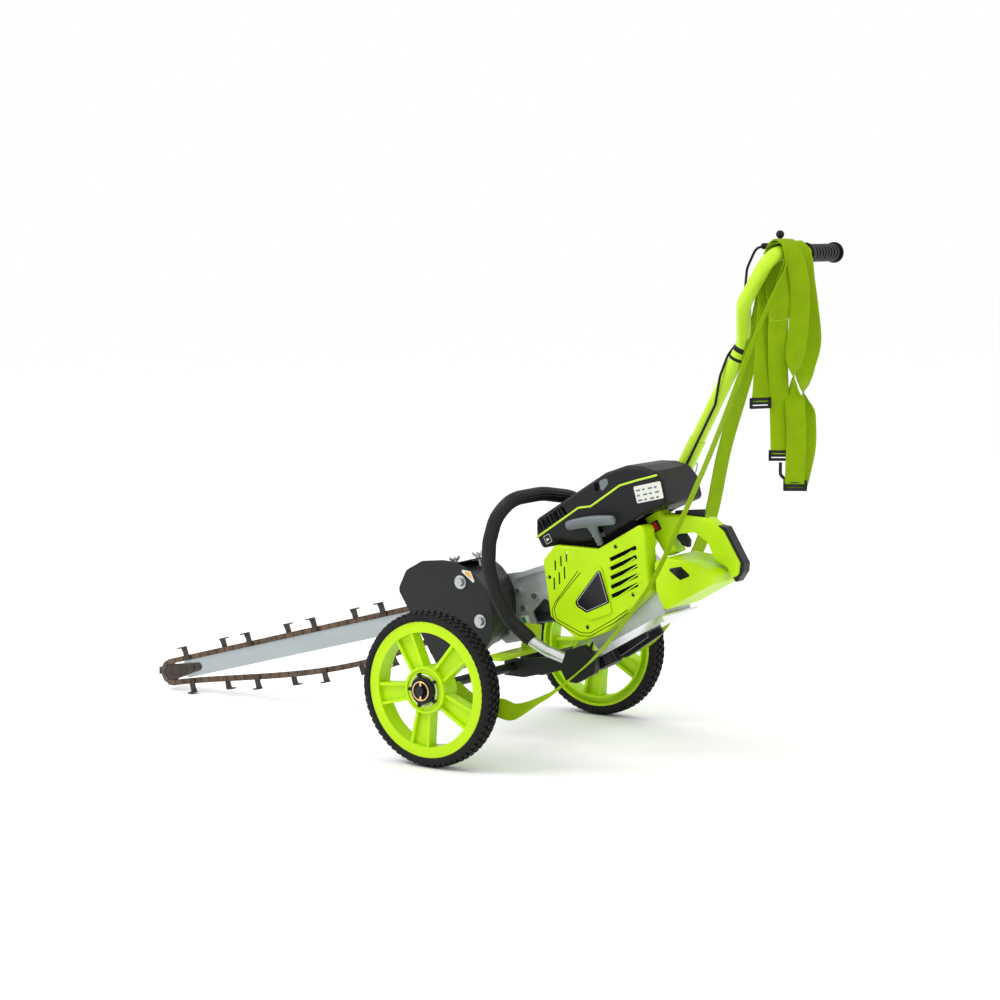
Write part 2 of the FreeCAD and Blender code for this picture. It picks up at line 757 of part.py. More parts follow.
def guard_strip():
    """Flat plate over the top of the drum that the wing nuts clamp down."""
    ends = [on_strip(0, 0), on_strip(STRIP_LENGTH, 0), on_strip(STRIP_LENGTH, STRIP_THICKNESS),
            on_strip(0, STRIP_THICKNESS)]
    strip = prism([(p.x, p.z) for p in ends], GUARD_NEAR + GUARD_SHEET + GAP, GUARD_FAR + GUARD_SHEET)
    tab = [on_strip(0, 2), on_strip(3, 2), on_strip(3, 14), on_strip(0, 14)]
    turned_up = prism([(p.x, p.z) for p in tab], GUARD_NEAR + 20, GUARD_FAR - 20)
    return fuse([strip, turned_up])


def wing_nuts():
    nuts = []
    middle = V(0, WING_NUTS_Y, 0)
    for t in WING_NUTS_AT:
        body = rod(on_strip(t, STRIP_THICKNESS) + middle, on_strip(t, 12) + middle, 5.5)
        ears = []
        for hand in (-1, 1):
            points = [on_strip(t + hand * 4, 5), on_strip(t + hand * 13, 11), on_strip(t + hand * 12, 17),
                      on_strip(t + hand * 4, 11)]
            ears.append(prism([(p.x, p.z) for p in points], WING_NUTS_Y - 1.5, WING_NUTS_Y + 1.5))
        stud = rod(on_strip(t, -14) + middle, on_strip(t, 15) + middle, 2.5)
        nuts.append(fuse([body, stud] + ears))
    return group(nuts)


# ---- belt arm ------------------------------------------------------------
def slot_points(a, b, ra, rb):
    """Outline of a belt run round two wheels, as an eight-sided capsule."""
    along = (b - a).normalize()
    angle = math.degrees(math.atan2(along.z, along.x))
    points = []
    for turn in (90, 135, 180, 225, 270):
        spot = a + polar(ra, angle + turn)
        points.append((spot.x, spot.z))
    for turn in (-90, -45, 0, 45, 90):
        spot = b + polar(rb, angle + turn)
        points.append((spot.x, spot.z))
    return points


def arm_plate():
    """Cast carrier plate, waisted between the guard and the engine."""
    outline_points = [(DRIVE.x - 46, DRIVE.z - 34), (DRIVE.x - 46, DRIVE.z + 46),
                      (DRIVE.x + 30, DRIVE.z + 60), (-23, 337), (22, 353), (70, 368), (CRANK.x + 30, CRANK.z + 62),
                      (CRANK.x + 52, CRANK.z - 20), (CRANK.x - 10, CRANK.z - 62), (90, 262), (31, 287),
                      (3, 256), (20, 220), (-11, 196), (-62, 184)]
    plate = prism(outline_points, ARM_NEAR, ARM_BACK, 5)
    rib = prism([(36, 292), (150, 330), (150, 340), (90, 322), (30, 302)], ARM_NEAR - 9, ARM_NEAR, 2)
    rib_top = prism([(-40, 320), (22, 341), (60, 352), (60, 358), (20, 347), (-42, 326)],
                    ARM_NEAR - 7, ARM_NEAR, 2)
    carrier = fuse([plate, rib, rib_top])
    holes = [disc(21, ARM_NEAR - 20, ARM_BACK + 1, DRIVE), disc(20, ARM_NEAR - 20, ARM_BACK + 1, CRANK)]
    for at in ARM_BOLTS:
        holes.append(disc(4, ARM_NEAR - 1, ARM_BACK + 1, at))
    return cut(carrier, holes)


def arm_bolts():
    bolts = []
    for at in ARM_BOLTS:
        head = prism([(at.x + 7 * math.cos(k * math.pi / 3), at.z + 7 * math.sin(k * math.pi / 3))
                      for k in range(6)], ARM_NEAR - 6, ARM_NEAR)
        shank = disc(4, ARM_NEAR, ARM_BACK, at)
        bolts.append(fuse([head, shank]))
    return group(bolts)


def arm_housing():
    """Belt cover on the right-hand side."""
    margin = 20.0
    points = slot_points(DRIVE, CRANK, PULLEY_RADIUS + margin, DRUM_RADIUS + margin)
    cover = prism(points, ARM_BACK, ARM_FAR, 6)
    hollow = inner_prism(points, ARM_BACK - 1, ARM_FAR - ARM_WALL, 6, ARM_WALL)
    cover = cover.cut(hollow)
    return cover.cut(disc(21, ARM_FAR - ARM_WALL - 1, ARM_FAR + 1, DRIVE))


def shaft_bearings():
    near = ring(21, SHAFT_RADIUS + RUNNING, ARM_NEAR, ARM_BACK, DRIVE)
    far = ring(21, SHAFT_RADIUS + RUNNING, ARM_FAR - ARM_WALL, ARM_FAR, DRIVE)
    crank = ring(20, CRANK_RADIUS + RUNNING, ARM_NEAR, ARM_BACK, CRANK)
    return group([near, far, crank])


def drive_shaft():
    """Sprocket shaft with its belt pulley and end nut."""
    shaft = disc(SHAFT_RADIUS, -10, ARM_FAR, DRIVE)
    pulley = disc(PULLEY_RADIUS, BELT_Y - BELT_WIDTH / 2 - 1, BELT_Y + BELT_WIDTH / 2 + 1, DRIVE)
    nut = disc(15, -10, -3.4, DRIVE)
    return fuse([shaft, pulley, nut])


def clutch_drum():
    half = BELT_WIDTH / 2 + 1
    drum = disc(DRUM_RADIUS, BELT_Y - half, BELT_Y + half, CRANK)
    cup = disc(DRUM_RADIUS - 5, BELT_Y - half - 1, BELT_Y + half - 3, CRANK)
    bore = disc(CRANK_RADIUS + RUNNING, BELT_Y - half - 1, BELT_Y + half + 1, CRANK)
    boss = disc(12, BELT_Y - half + 6, BELT_Y + half - 2, CRANK)
    return drum.cut(cup).fuse(boss).cut(bore)


def drive_belt():
    low = BELT_Y - BELT_WIDTH / 2
    high = BELT_Y + BELT_WIDTH / 2
    inner = belt_prism(PULLEY_RADIUS + GAP, low - 1, high + 1)
    outer = belt_prism(PULLEY_RADIUS + GAP + BELT_THICKNESS, low, high)
    return outer.cut(inner)


def belt_prism(radius, y0, y1):
    """Solid bounded by a loop of one radius round both pulleys."""
    along = (CRANK - DRIVE).normalize()
    side = V(-along.z, 0, along.x)
    a = DRIVE
    b = CRANK
    arc_a = Part.Arc(a + side * radius, a - along * radius, a - side * radius).toShape()
    arc_b = Part.Arc(b - side * radius, b + along * radius, b + side * radius).toShape()
    wire = Part.Wire([arc_a, Part.makeLine(a - side * radius, b - side * radius), arc_b,
                      Part.makeLine(b + side * radius, a + side * radius)])
    solid = Part.Face(wire).extrude(V(0, y1 - y0, 0))
    solid.translate(V(0, y0, 0))
    return solid


# ---- engine --------------------------------------------------------------
def engine_block():
    """Crankcase casting: a thin-walled box with a bearing boss on each side."""
    points = [(22, 4), (196, 4), (200, 60), (176, 134), (24, 134), (4, 90)]
    block = prism(points, BLOCK_NEAR, ARM_NEAR, 8)
    block = block.cut(inner_prism(points, BLOCK_NEAR + BLOCK_WALL, ARM_NEAR - BLOCK_WALL, 8, BLOCK_WALL))
    centre = V(CRANK_U, 0, CRANK_W)
    bosses = [disc(18, BLOCK_NEAR, BLOCK_NEAR + 14, centre), disc(18, ARM_NEAR - 14, ARM_NEAR, centre)]
    block = fuse([block] + bosses)
    bore = disc(CRANK_RADIUS + RUNNING, BLOCK_NEAR - 1, ARM_NEAR + 1, centre)
    mouth = Part.makeCylinder(BORE_RADIUS + 5, 60, V(CYLINDER_U, CYLINDER_Y, 110))
    return tilted(cut(block, [bore, mouth]))


def cylinder():
    base = V(CYLINDER_U, CYLINDER_Y, CYLINDER_LOW - 2)
    barrel = Part.makeCylinder(BORE_RADIUS + 5, CYLINDER_HIGH - CYLINDER_LOW, base)
    pieces = [barrel]
    for i in range(6):
        fin = Part.makeCylinder(FIN_RADIUS, 3, V(CYLINDER_U, CYLINDER_Y, CYLINDER_LOW + 14 + i * 9))
        pieces.append(fin)
    body = fuse(pieces)
    bore = Part.makeCylinder(BORE_RADIUS, CYLINDER_HIGH - CYLINDER_LOW - 10, base - V(0, 0, 1))
    return tilted(body.cut(bore))


def piston():
    crown = Part.makeCylinder(BORE_RADIUS - RUNNING, 30, V(CYLINDER_U, CYLINDER_Y, CYLINDER_LOW + 6))
    rod_low = V(CYLINDER_U, CYLINDER_Y, CRANK_W + CRANK_THROW + CRANK_PIN + 1)
    link = Part.makeCylinder(5, CYLINDER_LOW + 10 - rod_low.z, rod_low)
    return tilted(fuse([crown, link]))


def muffler():
    """Sheet-metal box between the cylinder and the front handle, with its outlet."""
    points = [(-18, 140), (48, 140), (48, 206), (-6, 214), (-22, 176)]
    box = prism(points, -52, 30, 8).cut(inner_prism(points, -50, 28, 8, 2))
    outlet = Part.makeCylinder(8, 18, V(-16, 10, 168), V(-1, 0, 0))
    return tilted(fuse([box, outlet]).cut(Part.makeCylinder(6, 30, V(-10, 10, 168), V(-1, 0, 0))))


def crankshaft():
    centre = V(CRANK_U, 0, CRANK_W)
    web = 8.0
    shaft_near = disc(CRANK_RADIUS, -88, CYLINDER_Y - web - 4, centre)
    shaft_far = disc(CRANK_RADIUS, CYLINDER_Y + web + 4, ARM_FAR - ARM_WALL - 2, centre)
    webs = [disc(30, CYLINDER_Y - web - 8, CYLINDER_Y - web + 2, centre),
            disc(30, CYLINDER_Y + web - 2, CYLINDER_Y + web + 8, centre)]
    pin = disc(CRANK_PIN, CYLINDER_Y - web - 4, CYLINDER_Y + web + 4, centre - V(0, 0, CRANK_THROW))
    return tilted(fuse([shaft_near, shaft_far, pin] + webs))


def flywheel():
    centre = V(CRANK_U, 0, CRANK_W)
    wheel = ring(FLYWHEEL_RADIUS, CRANK_RADIUS, -71, -62, centre)
    vanes = []
    for i in range(12):
        vane = Part.makeBox(22, 4, 3, V(FLYWHEEL_RADIUS - 24, -75, -1.5))
        vane.rotate(V(0, 0, 0), Y_AXIS, 30 * i)
        vane.translate(V(CRANK_U, 0, CRANK_W))
        vanes.append(vane)
    return tilted(fuse([wheel] + vanes))


# ---- powerhead shells ----------------------------------------------------
def grille_slots(first, step, count, length, width, angle, y0, y1):
    """Row of slanted slots, each a bar with square ends."""
    slots = []
    for i in range(count):
        slot = Part.makeBox(length, y1 - y0, width, V(-length / 2, y0, -width / 2))
        slot.rotate(V(0, 0, 0), Y_AXIS, -angle)
        slot.translate(V(first[0] + step[0] * i, 0, first[1] + step[1] * i))
        slots.append(slot)
    return slots


def starter_cover():
    inside = HEAD_NEAR + STARTER_DEPTH
    shell = prism(STARTER_OUTLINE, HEAD_NEAR, inside, 12)
    shell = soften(shell, 5, at_y(HEAD_NEAR))
    hollow = inner_prism(STARTER_OUTLINE, HEAD_NEAR + SHELL_WALL, inside + 1, 12, SHELL_WALL)
    shell = shell.cut(hollow)
    pad = prism([(34, 92), (106, 140), (136, 150), (112, 52), (60, 62)], HEAD_NEAR - 4, HEAD_NEAR + 1, 8)
    shell = shell.fuse(pad)
    low = HEAD_NEAR - 6
    high = HEAD_NEAR + SHELL_WALL + 3
    tools = grille_slots((190, 143), (-8, -16), 5, 66, 8, -4, low, high)
    tools += grille_slots((38, 190), (16, 2), 3, 20, 4, 62, low, high)
    tools += grille_slots((18, 160), (16, 4), 3, 24, 4, 62, low, high)
    for u, w in SCREW_SPOTS:
        tools.append(disc(4.5, low, HEAD_NEAR + 2, V(u, 0, w)))
    rope_hole = Part.makeCylinder(8, 90, ROPE_MOUTH - PULL * 46, PULL)
    return tilted(cut(shell, tools + [rope_hole]))


def starter_pulley():
    centre = V(CRANK_U, 0, CRANK_W)
    low = -84.0
    high = -76.5
    spool = ring(STARTER_PULLEY_RADIUS, CRANK_RADIUS + RUNNING, low, high, centre)
    middle = (low + high) / 2
    groove = ring(STARTER_PULLEY_RADIUS + 5, STARTER_PULLEY_RADIUS - 5, middle - 2, middle + 2, centre)
    return tilted(spool.cut(groove))


def starter_rope():
    """The stretch of cord that stands in the housing's throat."""
    return tilted(Part.makeCylinder(2, ROPE_SHOWN, ROPE_MOUTH - PULL * ROPE_SHOWN, PULL))


def starter_handle():
    """T-shaped pull with a ferrule at its foot."""
    ferrule = Part.makeCylinder(5.5, 12)
    stem = Part.makeCone(7, 11, 34, V(0, 0, 12))
    bar = Part.makeCylinder(9, 112, V(-56, 0, 52), V(1, 0, 0))
    bar = bar.makeFillet(6, bar.Edges)
    pull = fuse([ferrule, stem, bar])
    pull.Placement = FreeCAD.Placement(ROPE_MOUTH, FreeCAD.Rotation(PULL_BAR, V(0, 0, 0), PULL, "ZXY"))
    return tilted(pull)


def filter_cover():
    near = HEAD_NEAR + 5
    far = HEAD_FAR + 4
    cover = prism(FILTER_OUTLINE, near, far, 10)
    cover = soften(cover, 9, at_y(near))
    cover = soften(cover, 9, at_y(far))
    hollow = inner_prism(FILTER_OUTLINE, near + SHELL_WALL, far - SHELL_WALL, 10, SHELL_WALL)
    floor = Part.makeBox(214, far - near - 40, 14, V(50, near + 20, 184))
    fins = Part.makeCylinder(FIN_RADIUS + 1, 90, V(CYLINDER_U, CYLINDER_Y, 130))
    cover = cut(cover, [hollow, floor, fins])
    slots = []
    for i in range(7):
        slots.append(Part.makeBox(4, SHELL_WALL + 8, 18, V(40 + i * 11, near - 1, 266)))
    throat = Part.makeCylinder(16, 70, ROPE_MOUTH - PULL * 20, PULL)
    cover = tilted(cut(cover, slots + [throat]))
    return cover.cut(pipe(FRONT_ROUTE[:5], FRONT_BEND, FRONT_GRIP_DIAMETER / 2 + GAP))


def filter_element():
    block = Part.makeBox(90, 70, 34, V(186, -50, 214))
    ribs = []
    for i in range(7):
        ribs.append(Part.makeBox(5, 72, 28, V(193 + i * 12, -51, 223)))
    return tilted(cut(block, ribs))


def fuel_tank():
    """Hollow tank with its filler neck on the right-hand side."""
    near = HEAD_NEAR + 10
    far = TANK_FAR
    tank = prism(TANK_OUTLINE, near, far, 8)
    tank = soften(tank, 4, at_y(near))
    tank = soften(tank, 4, at_y(far))
    hollow = inner_prism(TANK_OUTLINE, near + SHELL_WALL, far - SHELL_WALL, 8, SHELL_WALL)
    neck = Part.makeCylinder(13, 12, V(FILLER[0], far - 2, FILLER[1]), Y_AXIS)
    inside = Part.makeCylinder(10, 40, V(FILLER[0], far - 14, FILLER[1]), Y_AXIS)
    return tilted(cut(tank, [hollow]).fuse(neck.cut(inside)).cut(inside))


def fuel_cap():
    low = TANK_FAR + 10 + GAP
    cap = Part.makeCylinder(19, 12, V(FILLER[0], low, FILLER[1]), Y_AXIS)
    grips = []
    for i in range(12):
        notch = Part.makeCylinder(2, 14, V(19, low - 1, 0), Y_AXIS)
        notch.rotate(V(0, 0, 0), Y_AXIS, 30 * i)
        notch.translate(V(FILLER[0], 0, FILLER[1]))
        grips.append(notch)
    return tilted(cut(cap, grips))


def rear_handle():
    near = HANDLE_Y - HANDLE_WIDTH / 2
    far = HANDLE_Y + HANDLE_WIDTH / 2
    grip = prism(HANDLE_OUTER, near, far, 10)
    grip = soften(grip, 7, at_y(near))
    grip = soften(grip, 7, at_y(far))
    grip = grip.cut(prism(HANDLE_HOLE, near - 1, far + 1, 8))
    trigger_well = Part.makeBox(40, 14, 44, V(268, HANDLE_Y - 7, 108))
    lock_well = Part.makeBox(68, 14, 52, V(288, HANDLE_Y - 7, 130))
    switch_well = Part.makeBox(16, 14, 16, V(240, near - 1, 158))
    insert_well = prism(INSERT_OUTLINE, near + 6, far - 6, 0)
    cover_room = prism(FILTER_OUTLINE, HEAD_NEAR + 5, HEAD_FAR + 4, 10)
    tank_room = prism(TANK_OUTLINE, near - 1, far + 1, 8)
    grip = cut(grip, [trigger_well, lock_well, switch_well, insert_well, cover_room, tank_room])
    pins = []
    for u, w in (TRIGGER_PIVOT, LOCK_PIVOT):
        pins.append(disc(LEVER_PIN, HANDLE_Y - 8, HANDLE_Y + 8, V(u, 0, w)))
    return tilted(fuse([grip] + pins))


def handle_insert():
    """Rubber pad let into the back of the handle."""
    near = HANDLE_Y - HANDLE_WIDTH / 2 + 6
    far = HANDLE_Y + HANDLE_WIDTH / 2 - 6
    return tilted(prism(INSERT_OUTLINE, near, far, 0).common(
        prism([(352, 112), (384, 112), (386, 20), (370, -4), (352, -4)], near, far, 4)))


def pin_hole(pivot):
    return disc(LEVER_PIN + RUNNING, HANDLE_Y - 6, HANDLE_Y + 6, V(pivot[0], 0, pivot[1]))


def trigger():
    u, w = TRIGGER_PIVOT
    blade = prism([(u - 6, w + 5), (u + 7, w + 5), (u + 15, w - 8), (u + 18, w - 30), (u + 10, w - 42),
                   (u, w - 32), (u - 5, w - 12)], HANDLE_Y - 5, HANDLE_Y + 5, 2)
    return tilted(blade.cut(pin_hole(TRIGGER_PIVOT)))


def lockout():
    u, w = LOCK_PIVOT
    paddle = prism([(u - 6, w - 5), (u + 6, w - 5), (u + 20, w + 5), (u + 22, w + 13), (u - 34, w + 38),
                    (u - 38, w + 30), (u - 34, w + 18), (u - 8, w + 6)], HANDLE_Y - 5, HANDLE_Y + 5, 2)
    return tilted(paddle.cut(pin_hole(LOCK_PIVOT)))


def stop_switch():
    near = HANDLE_Y - HANDLE_WIDTH / 2
    button = Part.makeBox(15, 10, 15, V(240.5, near - 3, 158.5))
    return tilted(button)


def base_plate():
    """Folded metal foot that the powerhead is bolted down on."""
    plate = Part.makeBox(PLATE_LENGTH, HEAD_FAR - HEAD_NEAR - 4, 4, V(-8, HEAD_NEAR + 2, -0.5))
    lip = Part.makeBox(PLATE_LENGTH, 4, 14, V(-8, HEAD_NEAR + 2, -10))
    tray = fuse([plate, lip])
    holes = []
    for u in (96, 132, 168):
        holes.append(Part.makeCylinder(7, 20, V(u, HEAD_NEAR + 22, -12)))
    return tilted(cut(tray, holes))


def ground_buffer():
    """Ribbed rubber buffer under the plate and the round foot beside it."""
    buffer = Part.makeCylinder(23, 30, V(34, BUFFER_Y, -0.5), V(0, 0, -1))
    ribs = []
    for i in range(12):
        rib = Part.makeBox(4, 3, 26, V(21.5, -1.5, -29))
        rib.rotate(V(0, 0, 0), V(0, 0, 1), 30 * i)
        rib.translate(V(34, BUFFER_Y, 0))
        ribs.append(rib)
    return tilted(fuse([buffer] + ribs))


# ---- front handle --------------------------------------------------------
def front_handle_tube():
    return pipe(FRONT_ROUTE, FRONT_BEND, FRONT_TUBE_DIAMETER / 2, FRONT_TUBE_DIAMETER / 2 - 2.5)


def front_handle_grip():
    sleeve = pipe(FRONT_ROUTE[1:11], FRONT_BEND, FRONT_GRIP_DIAMETER / 2, FRONT_TUBE_DIAMETER / 2)
    return sleeve


def handle_foot():
    """Moulded block that clamps the handle's lower end to the base plate."""
    block = prism([(-44, 6), (-14, 30), (26, 24), (40, -12), (24, -36), (-24, -36), (-44, -22)],
                  HEAD_NEAR - 14, HEAD_NEAR + 1.5, 9)
    block = tilted(block)
    return block.cut(rod(FRONT_ROUTE[-2] - (FRONT_ROUTE[-1] - FRONT_ROUTE[-2]) * 0.5,
                         FRONT_ROUTE[-1] + (FRONT_ROUTE[-1] - FRONT_ROUTE[-2]) * 0.02,
                         FRONT_TUBE_DIAMETER / 2))


# ---- mast and cross handle -----------------------------------------------
def mast_point(distance):
    return MAST_FOOT + polar(distance, MAST_SLOPE)


def mast_tube():
    start = mast_point(0)
    end = mast_point(MAST_LENGTH)
    tube = rod(start, end, MAST_RADIUS).cut(rod(start, end, MAST_RADIUS - MAST_WALL))
    return tube.cut(pin_rod(PIN_RADIUS + RUNNING))


def pin_rod(radius):
    at = mast_point(PIN_AT)
    return Part.makeCylinder(radius, 120, at - V(0, 60, 0), Y_AXIS)


def handle_route():
    start = mast_point(MAST_LENGTH - 130)
    shoulder = mast_point(INNER_LENGTH)
    top = V(BAR_X, CROSSBAR_START, BAR_HEIGHT)
    elbow = V(BAR_X - 66, CROSSBAR_START + 16, BAR_HEIGHT - 96)
    return [start, shoulder, elbow, top, V(BAR_X, CROSSBAR_END, BAR_HEIGHT)]


def handle_tube():
    tube = pipe(handle_route(), HANDLE_BEND, INNER_RADIUS, INNER_RADIUS - 2.5)
    return tube.cut(pin_rod(PIN_RADIUS + RUNNING))


def mast_pin():
    """Lock pin through both tubes of the mast, with a wire loop to pull it by."""
    at = mast_point(PIN_AT)
    along = polar(1, MAST_SLOPE)
    half = MAST_RADIUS + 5
    shaft = Part.makeCylinder(PIN_RADIUS, 2 * half + 6, at - V(0, half, 0), Y_AXIS)
    end = at + V(0, half + 4, 0)
    corners = [end, end + along * 14 + V(0, 5, 0), end + along * 20 + V(0, 22, 0), end + V(0, 32, 0),
               end - along * 20 + V(0, 22, 0), end - along * 14 + V(0, 5, 0), end]
    loop = pipe(corners, 6, 1.5)
    return fuse([shaft, loop])


def hand_grip():
    start = CROSSBAR_END - GRIP_LENGTH
    centre = V(BAR_X, 0, BAR_HEIGHT)
    pieces = [disc(GRIP_DIAMETER / 2 - 1.5, start, CROSSBAR_END + 4, centre)]
    for i in range(9):
        at = start + 10 + i * 12
        pieces.append(disc(GRIP_DIAMETER / 2, at, at + 6, centre))
    pieces.append(disc(GRIP_DIAMETER / 2 + 3, CROSSBAR_END, CROSSBAR_END + 4, centre))
    pieces.append(disc(GRIP_DIAMETER / 2 + 3, start, start + 4, centre))
    return fuse(pieces).cut(disc(INNER_RADIUS, start - 1, CROSSBAR_END, centre))


def lever_perch():
    centre = V(BAR_X, 0, BAR_HEIGHT)
    clamp = ring(INNER_RADIUS + 5, INNER_RADIUS, PERCH_Y[0], PERCH_Y[1], centre)
    horn = Part.makeBox(30, 20, 4, LEVER_PIVOT + V(-6, -11, -9))
    horn_top = Part.makeBox(30, 20, 4, LEVER_PIVOT + V(-6, -11, 5))
    barrel = rod(ADJUSTER, ADJUSTER + V(0, 51, 0), 6)
    knob = Part.makeSphere(8, LEVER_PIVOT + V(6, 0, 28))
    stalk = Part.makeCylinder(4, 24, LEVER_PIVOT + V(6, 0, 5))
    perch = fuse([clamp, horn, horn_top, barrel, knob, stalk])
    perch = perch.cut(disc(INNER_RADIUS, PERCH_Y[0] - 20, PERCH_Y[1] + 20, centre))
    post = Part.makeCylinder(LEVER_PIN, 22, LEVER_PIVOT + V(0, 0, -9))
    return fuse([perch, post])


def throttle_lever():
    """Finger lever that lies in front of the grip, with a ball at its tip."""
    p = LEVER_PIVOT
    outline_points = [V(-9, -7, 0), V(8, -7, 0), V(8, 8, 0), V(-6, 34, 0), V(-12, 76, 0), V(-14, 112, 0),
                      V(-24, 112, 0), V(-23, 74, 0), V(-17, 32, 0), V(-9, 8, 0)]
    corners = [p + V(q.x, q.y, -3.5) for q in outline_points]
    blade = Part.Face(Part.makePolygon(corners + corners[:1])).extrude(V(0, 0, 7))
    ball = Part.makeSphere(8, p + V(-19, 114, 0))
    return fuse([blade, ball]).cut(Part.makeCylinder(LEVER_PIN + RUNNING, 30, p + V(0, 0, -15)))


def cable_route():
    """Points of the throttle cable, from the lever down the mast to the engine."""
    aside = V(0.42, -0.88, -0.22) * (MAST_RADIUS + CABLE_DIAMETER / 2 + 0.4)
    slim = V(0.42, -0.88, -0.22) * (INNER_RADIUS + CABLE_DIAMETER / 2 + 3.2)
    return [ADJUSTER - V(0, GAP, 0), ADJUSTER + V(-3, -25, -4), V(503, 20, 962), V(478, 58, 910),
            V(441, 124, 832), V(424, 92, 792), mast_point(INNER_LENGTH - 74) + V(-6, -21, 2),
            mast_point(INNER_LENGTH - 130) + slim,
            mast_point(MAST_LENGTH - 20) + aside, mast_point(MAST_LENGTH - 200) + aside,
            mast_point(246) + V(0, -26, 0), mast_point(218) + V(0, -40, 0)]


def throttle_cable():
    return pipe(cable_route(), 30, CABLE_DIAMETER / 2)


# ---- harness -------------------------------------------------------------
def ribbon(stations):
    """Webbing through (middle, direction of its width, width) stations."""
    sections = []
    count = len(stations)
    for i, (middle, wide, width) in enumerate(stations):
        before = stations[max(i - 1, 0)][0]
        after = stations[min(i + 1, count - 1)][0]
        along = (after - before).normalize()
        wide = (wide - along * wide.dot(along)).normalize()
        face = along.cross(wide)
        a = wide * (width / 2)
        b = face * (WEBBING_THICKNESS / 2)
        corners = [middle + a + b, middle - a + b, middle - a - b, middle + a - b]
        sections.append(Part.makePolygon(corners + corners[:1]))
    return Part.makeLoft(sections, True, True)


def over_bar(y, layer):
    """Stations of webbing gathered over the crossbar, from the operator's side."""
    reach = INNER_RADIUS + layer * 3.6
    spots = []
    for angle in (-10, 26, 62, 98, 134, 170, 190):
        spots.append((V(BAR_X, y, BAR_HEIGHT) + polar(reach, angle), ACROSS, GATHERED_WIDTH))
    return spots


def flat(stations):
    """Stations at the webbing's full width."""
    return [(middle, wide, WEBBING_WIDTH) for middle, wide in stations]


STRAP_LEFT = [*flat([(V(24, -262, 152), ACROSS), (V(72, -262, 118), V(0, 1, 0.2)),
                     (V(128, -256, 104), V(0.3, 0.8, 0.5)), (V(190, -240, 128), V(0, 0.9, 0.4)),
                     (V(240, -218, 168), V(-0.2, 1, 0)), (V(304, -184, 236), V(-0.45, 0.9, 0)),
                     (V(374, -158, 338), V(-0.5, 0.85, 0)), (V(412, -142, 410), V(-0.5, 0.85, 0)),
                     (V(471, -103, 570), V(-0.5, 0.85, 0)), (V(524, -34, 772), V(-0.4, 0.9, 0)),
                     (V(566, 34, 900), V(-0.2, 1, 0))]),
              *over_bar(76, 1), *flat([(V(532, 62, 900), V(0.4, 0.9, 0)), (V(519, 56, 730), V(0.6, 0.8, 0))])]
STRAP_RIGHT = [*flat([(V(24, 262, 152), ACROSS), (V(66, 262, 136), ACROSS), (V(132, 255, 148), V(0, 1, 0.1)),
                      (V(201, 240, 214), FACING), (V(276, 212, 344), FACING), (V(333, 190, 456), FACING),
                      (V(392, 160, 600), FACING), (V(466, 128, 746), FACING),
                      (V(580, 97, 900), V(0.4, 0.9, 0))]),
               *over_bar(76, 2), *flat([(V(508, 92, 900), V(0.5, 0.9, 0)), (V(510, 108, 612), FACING)])]
STRAP_LOOP = [*flat([(V(553, 142, 548), FACING), (V(556, 144, 640), FACING), (V(570, 146, 760), V(0.2, 1, 0)),
                     (V(576, 150, 900), ACROSS)]), *over_bar(137, 1),
              *flat([(V(530, 146, 900), V(0.3, 1, 0)), (V(528, 178, 740), V(0.4, 0.9, 0)),
                     (V(528, 186, 560), FACING)])]


def strap_left():
    return ribbon(STRAP_LEFT)


def strap_right():
    return ribbon(STRAP_RIGHT)


def strap_loop():
    return ribbon(STRAP_LOOP)


def buckle(middle, wide):
    """Flat plastic buckle with two slots for the webbing."""
    wide = wide.normalize()
    body = Part.makeBox(WEBBING_WIDTH + 8, 7, 26, V(-WEBBING_WIDTH / 2 - 4, -3.5, -26))
    window = Part.makeBox(WEBBING_WIDTH, 9, 7, V(-WEBBING_WIDTH / 2, -4.5, -20))
    body = body.cut(window)
    body.rotate(V(0, 0, 0), V(0, 0, 1), math.degrees(math.atan2(wide.y, wide.x)))
    body.translate(middle)
    return body


def strap_buckles():
    """Buckles at the ends of the two tails and of the loop."""
    ends = (STRAP_LEFT[-1], STRAP_RIGHT[-1], STRAP_LOOP[0])
    return group([buckle(middle - V(0, 0, BUCKLE_DROP), wide) for middle, wide, _ in ends])


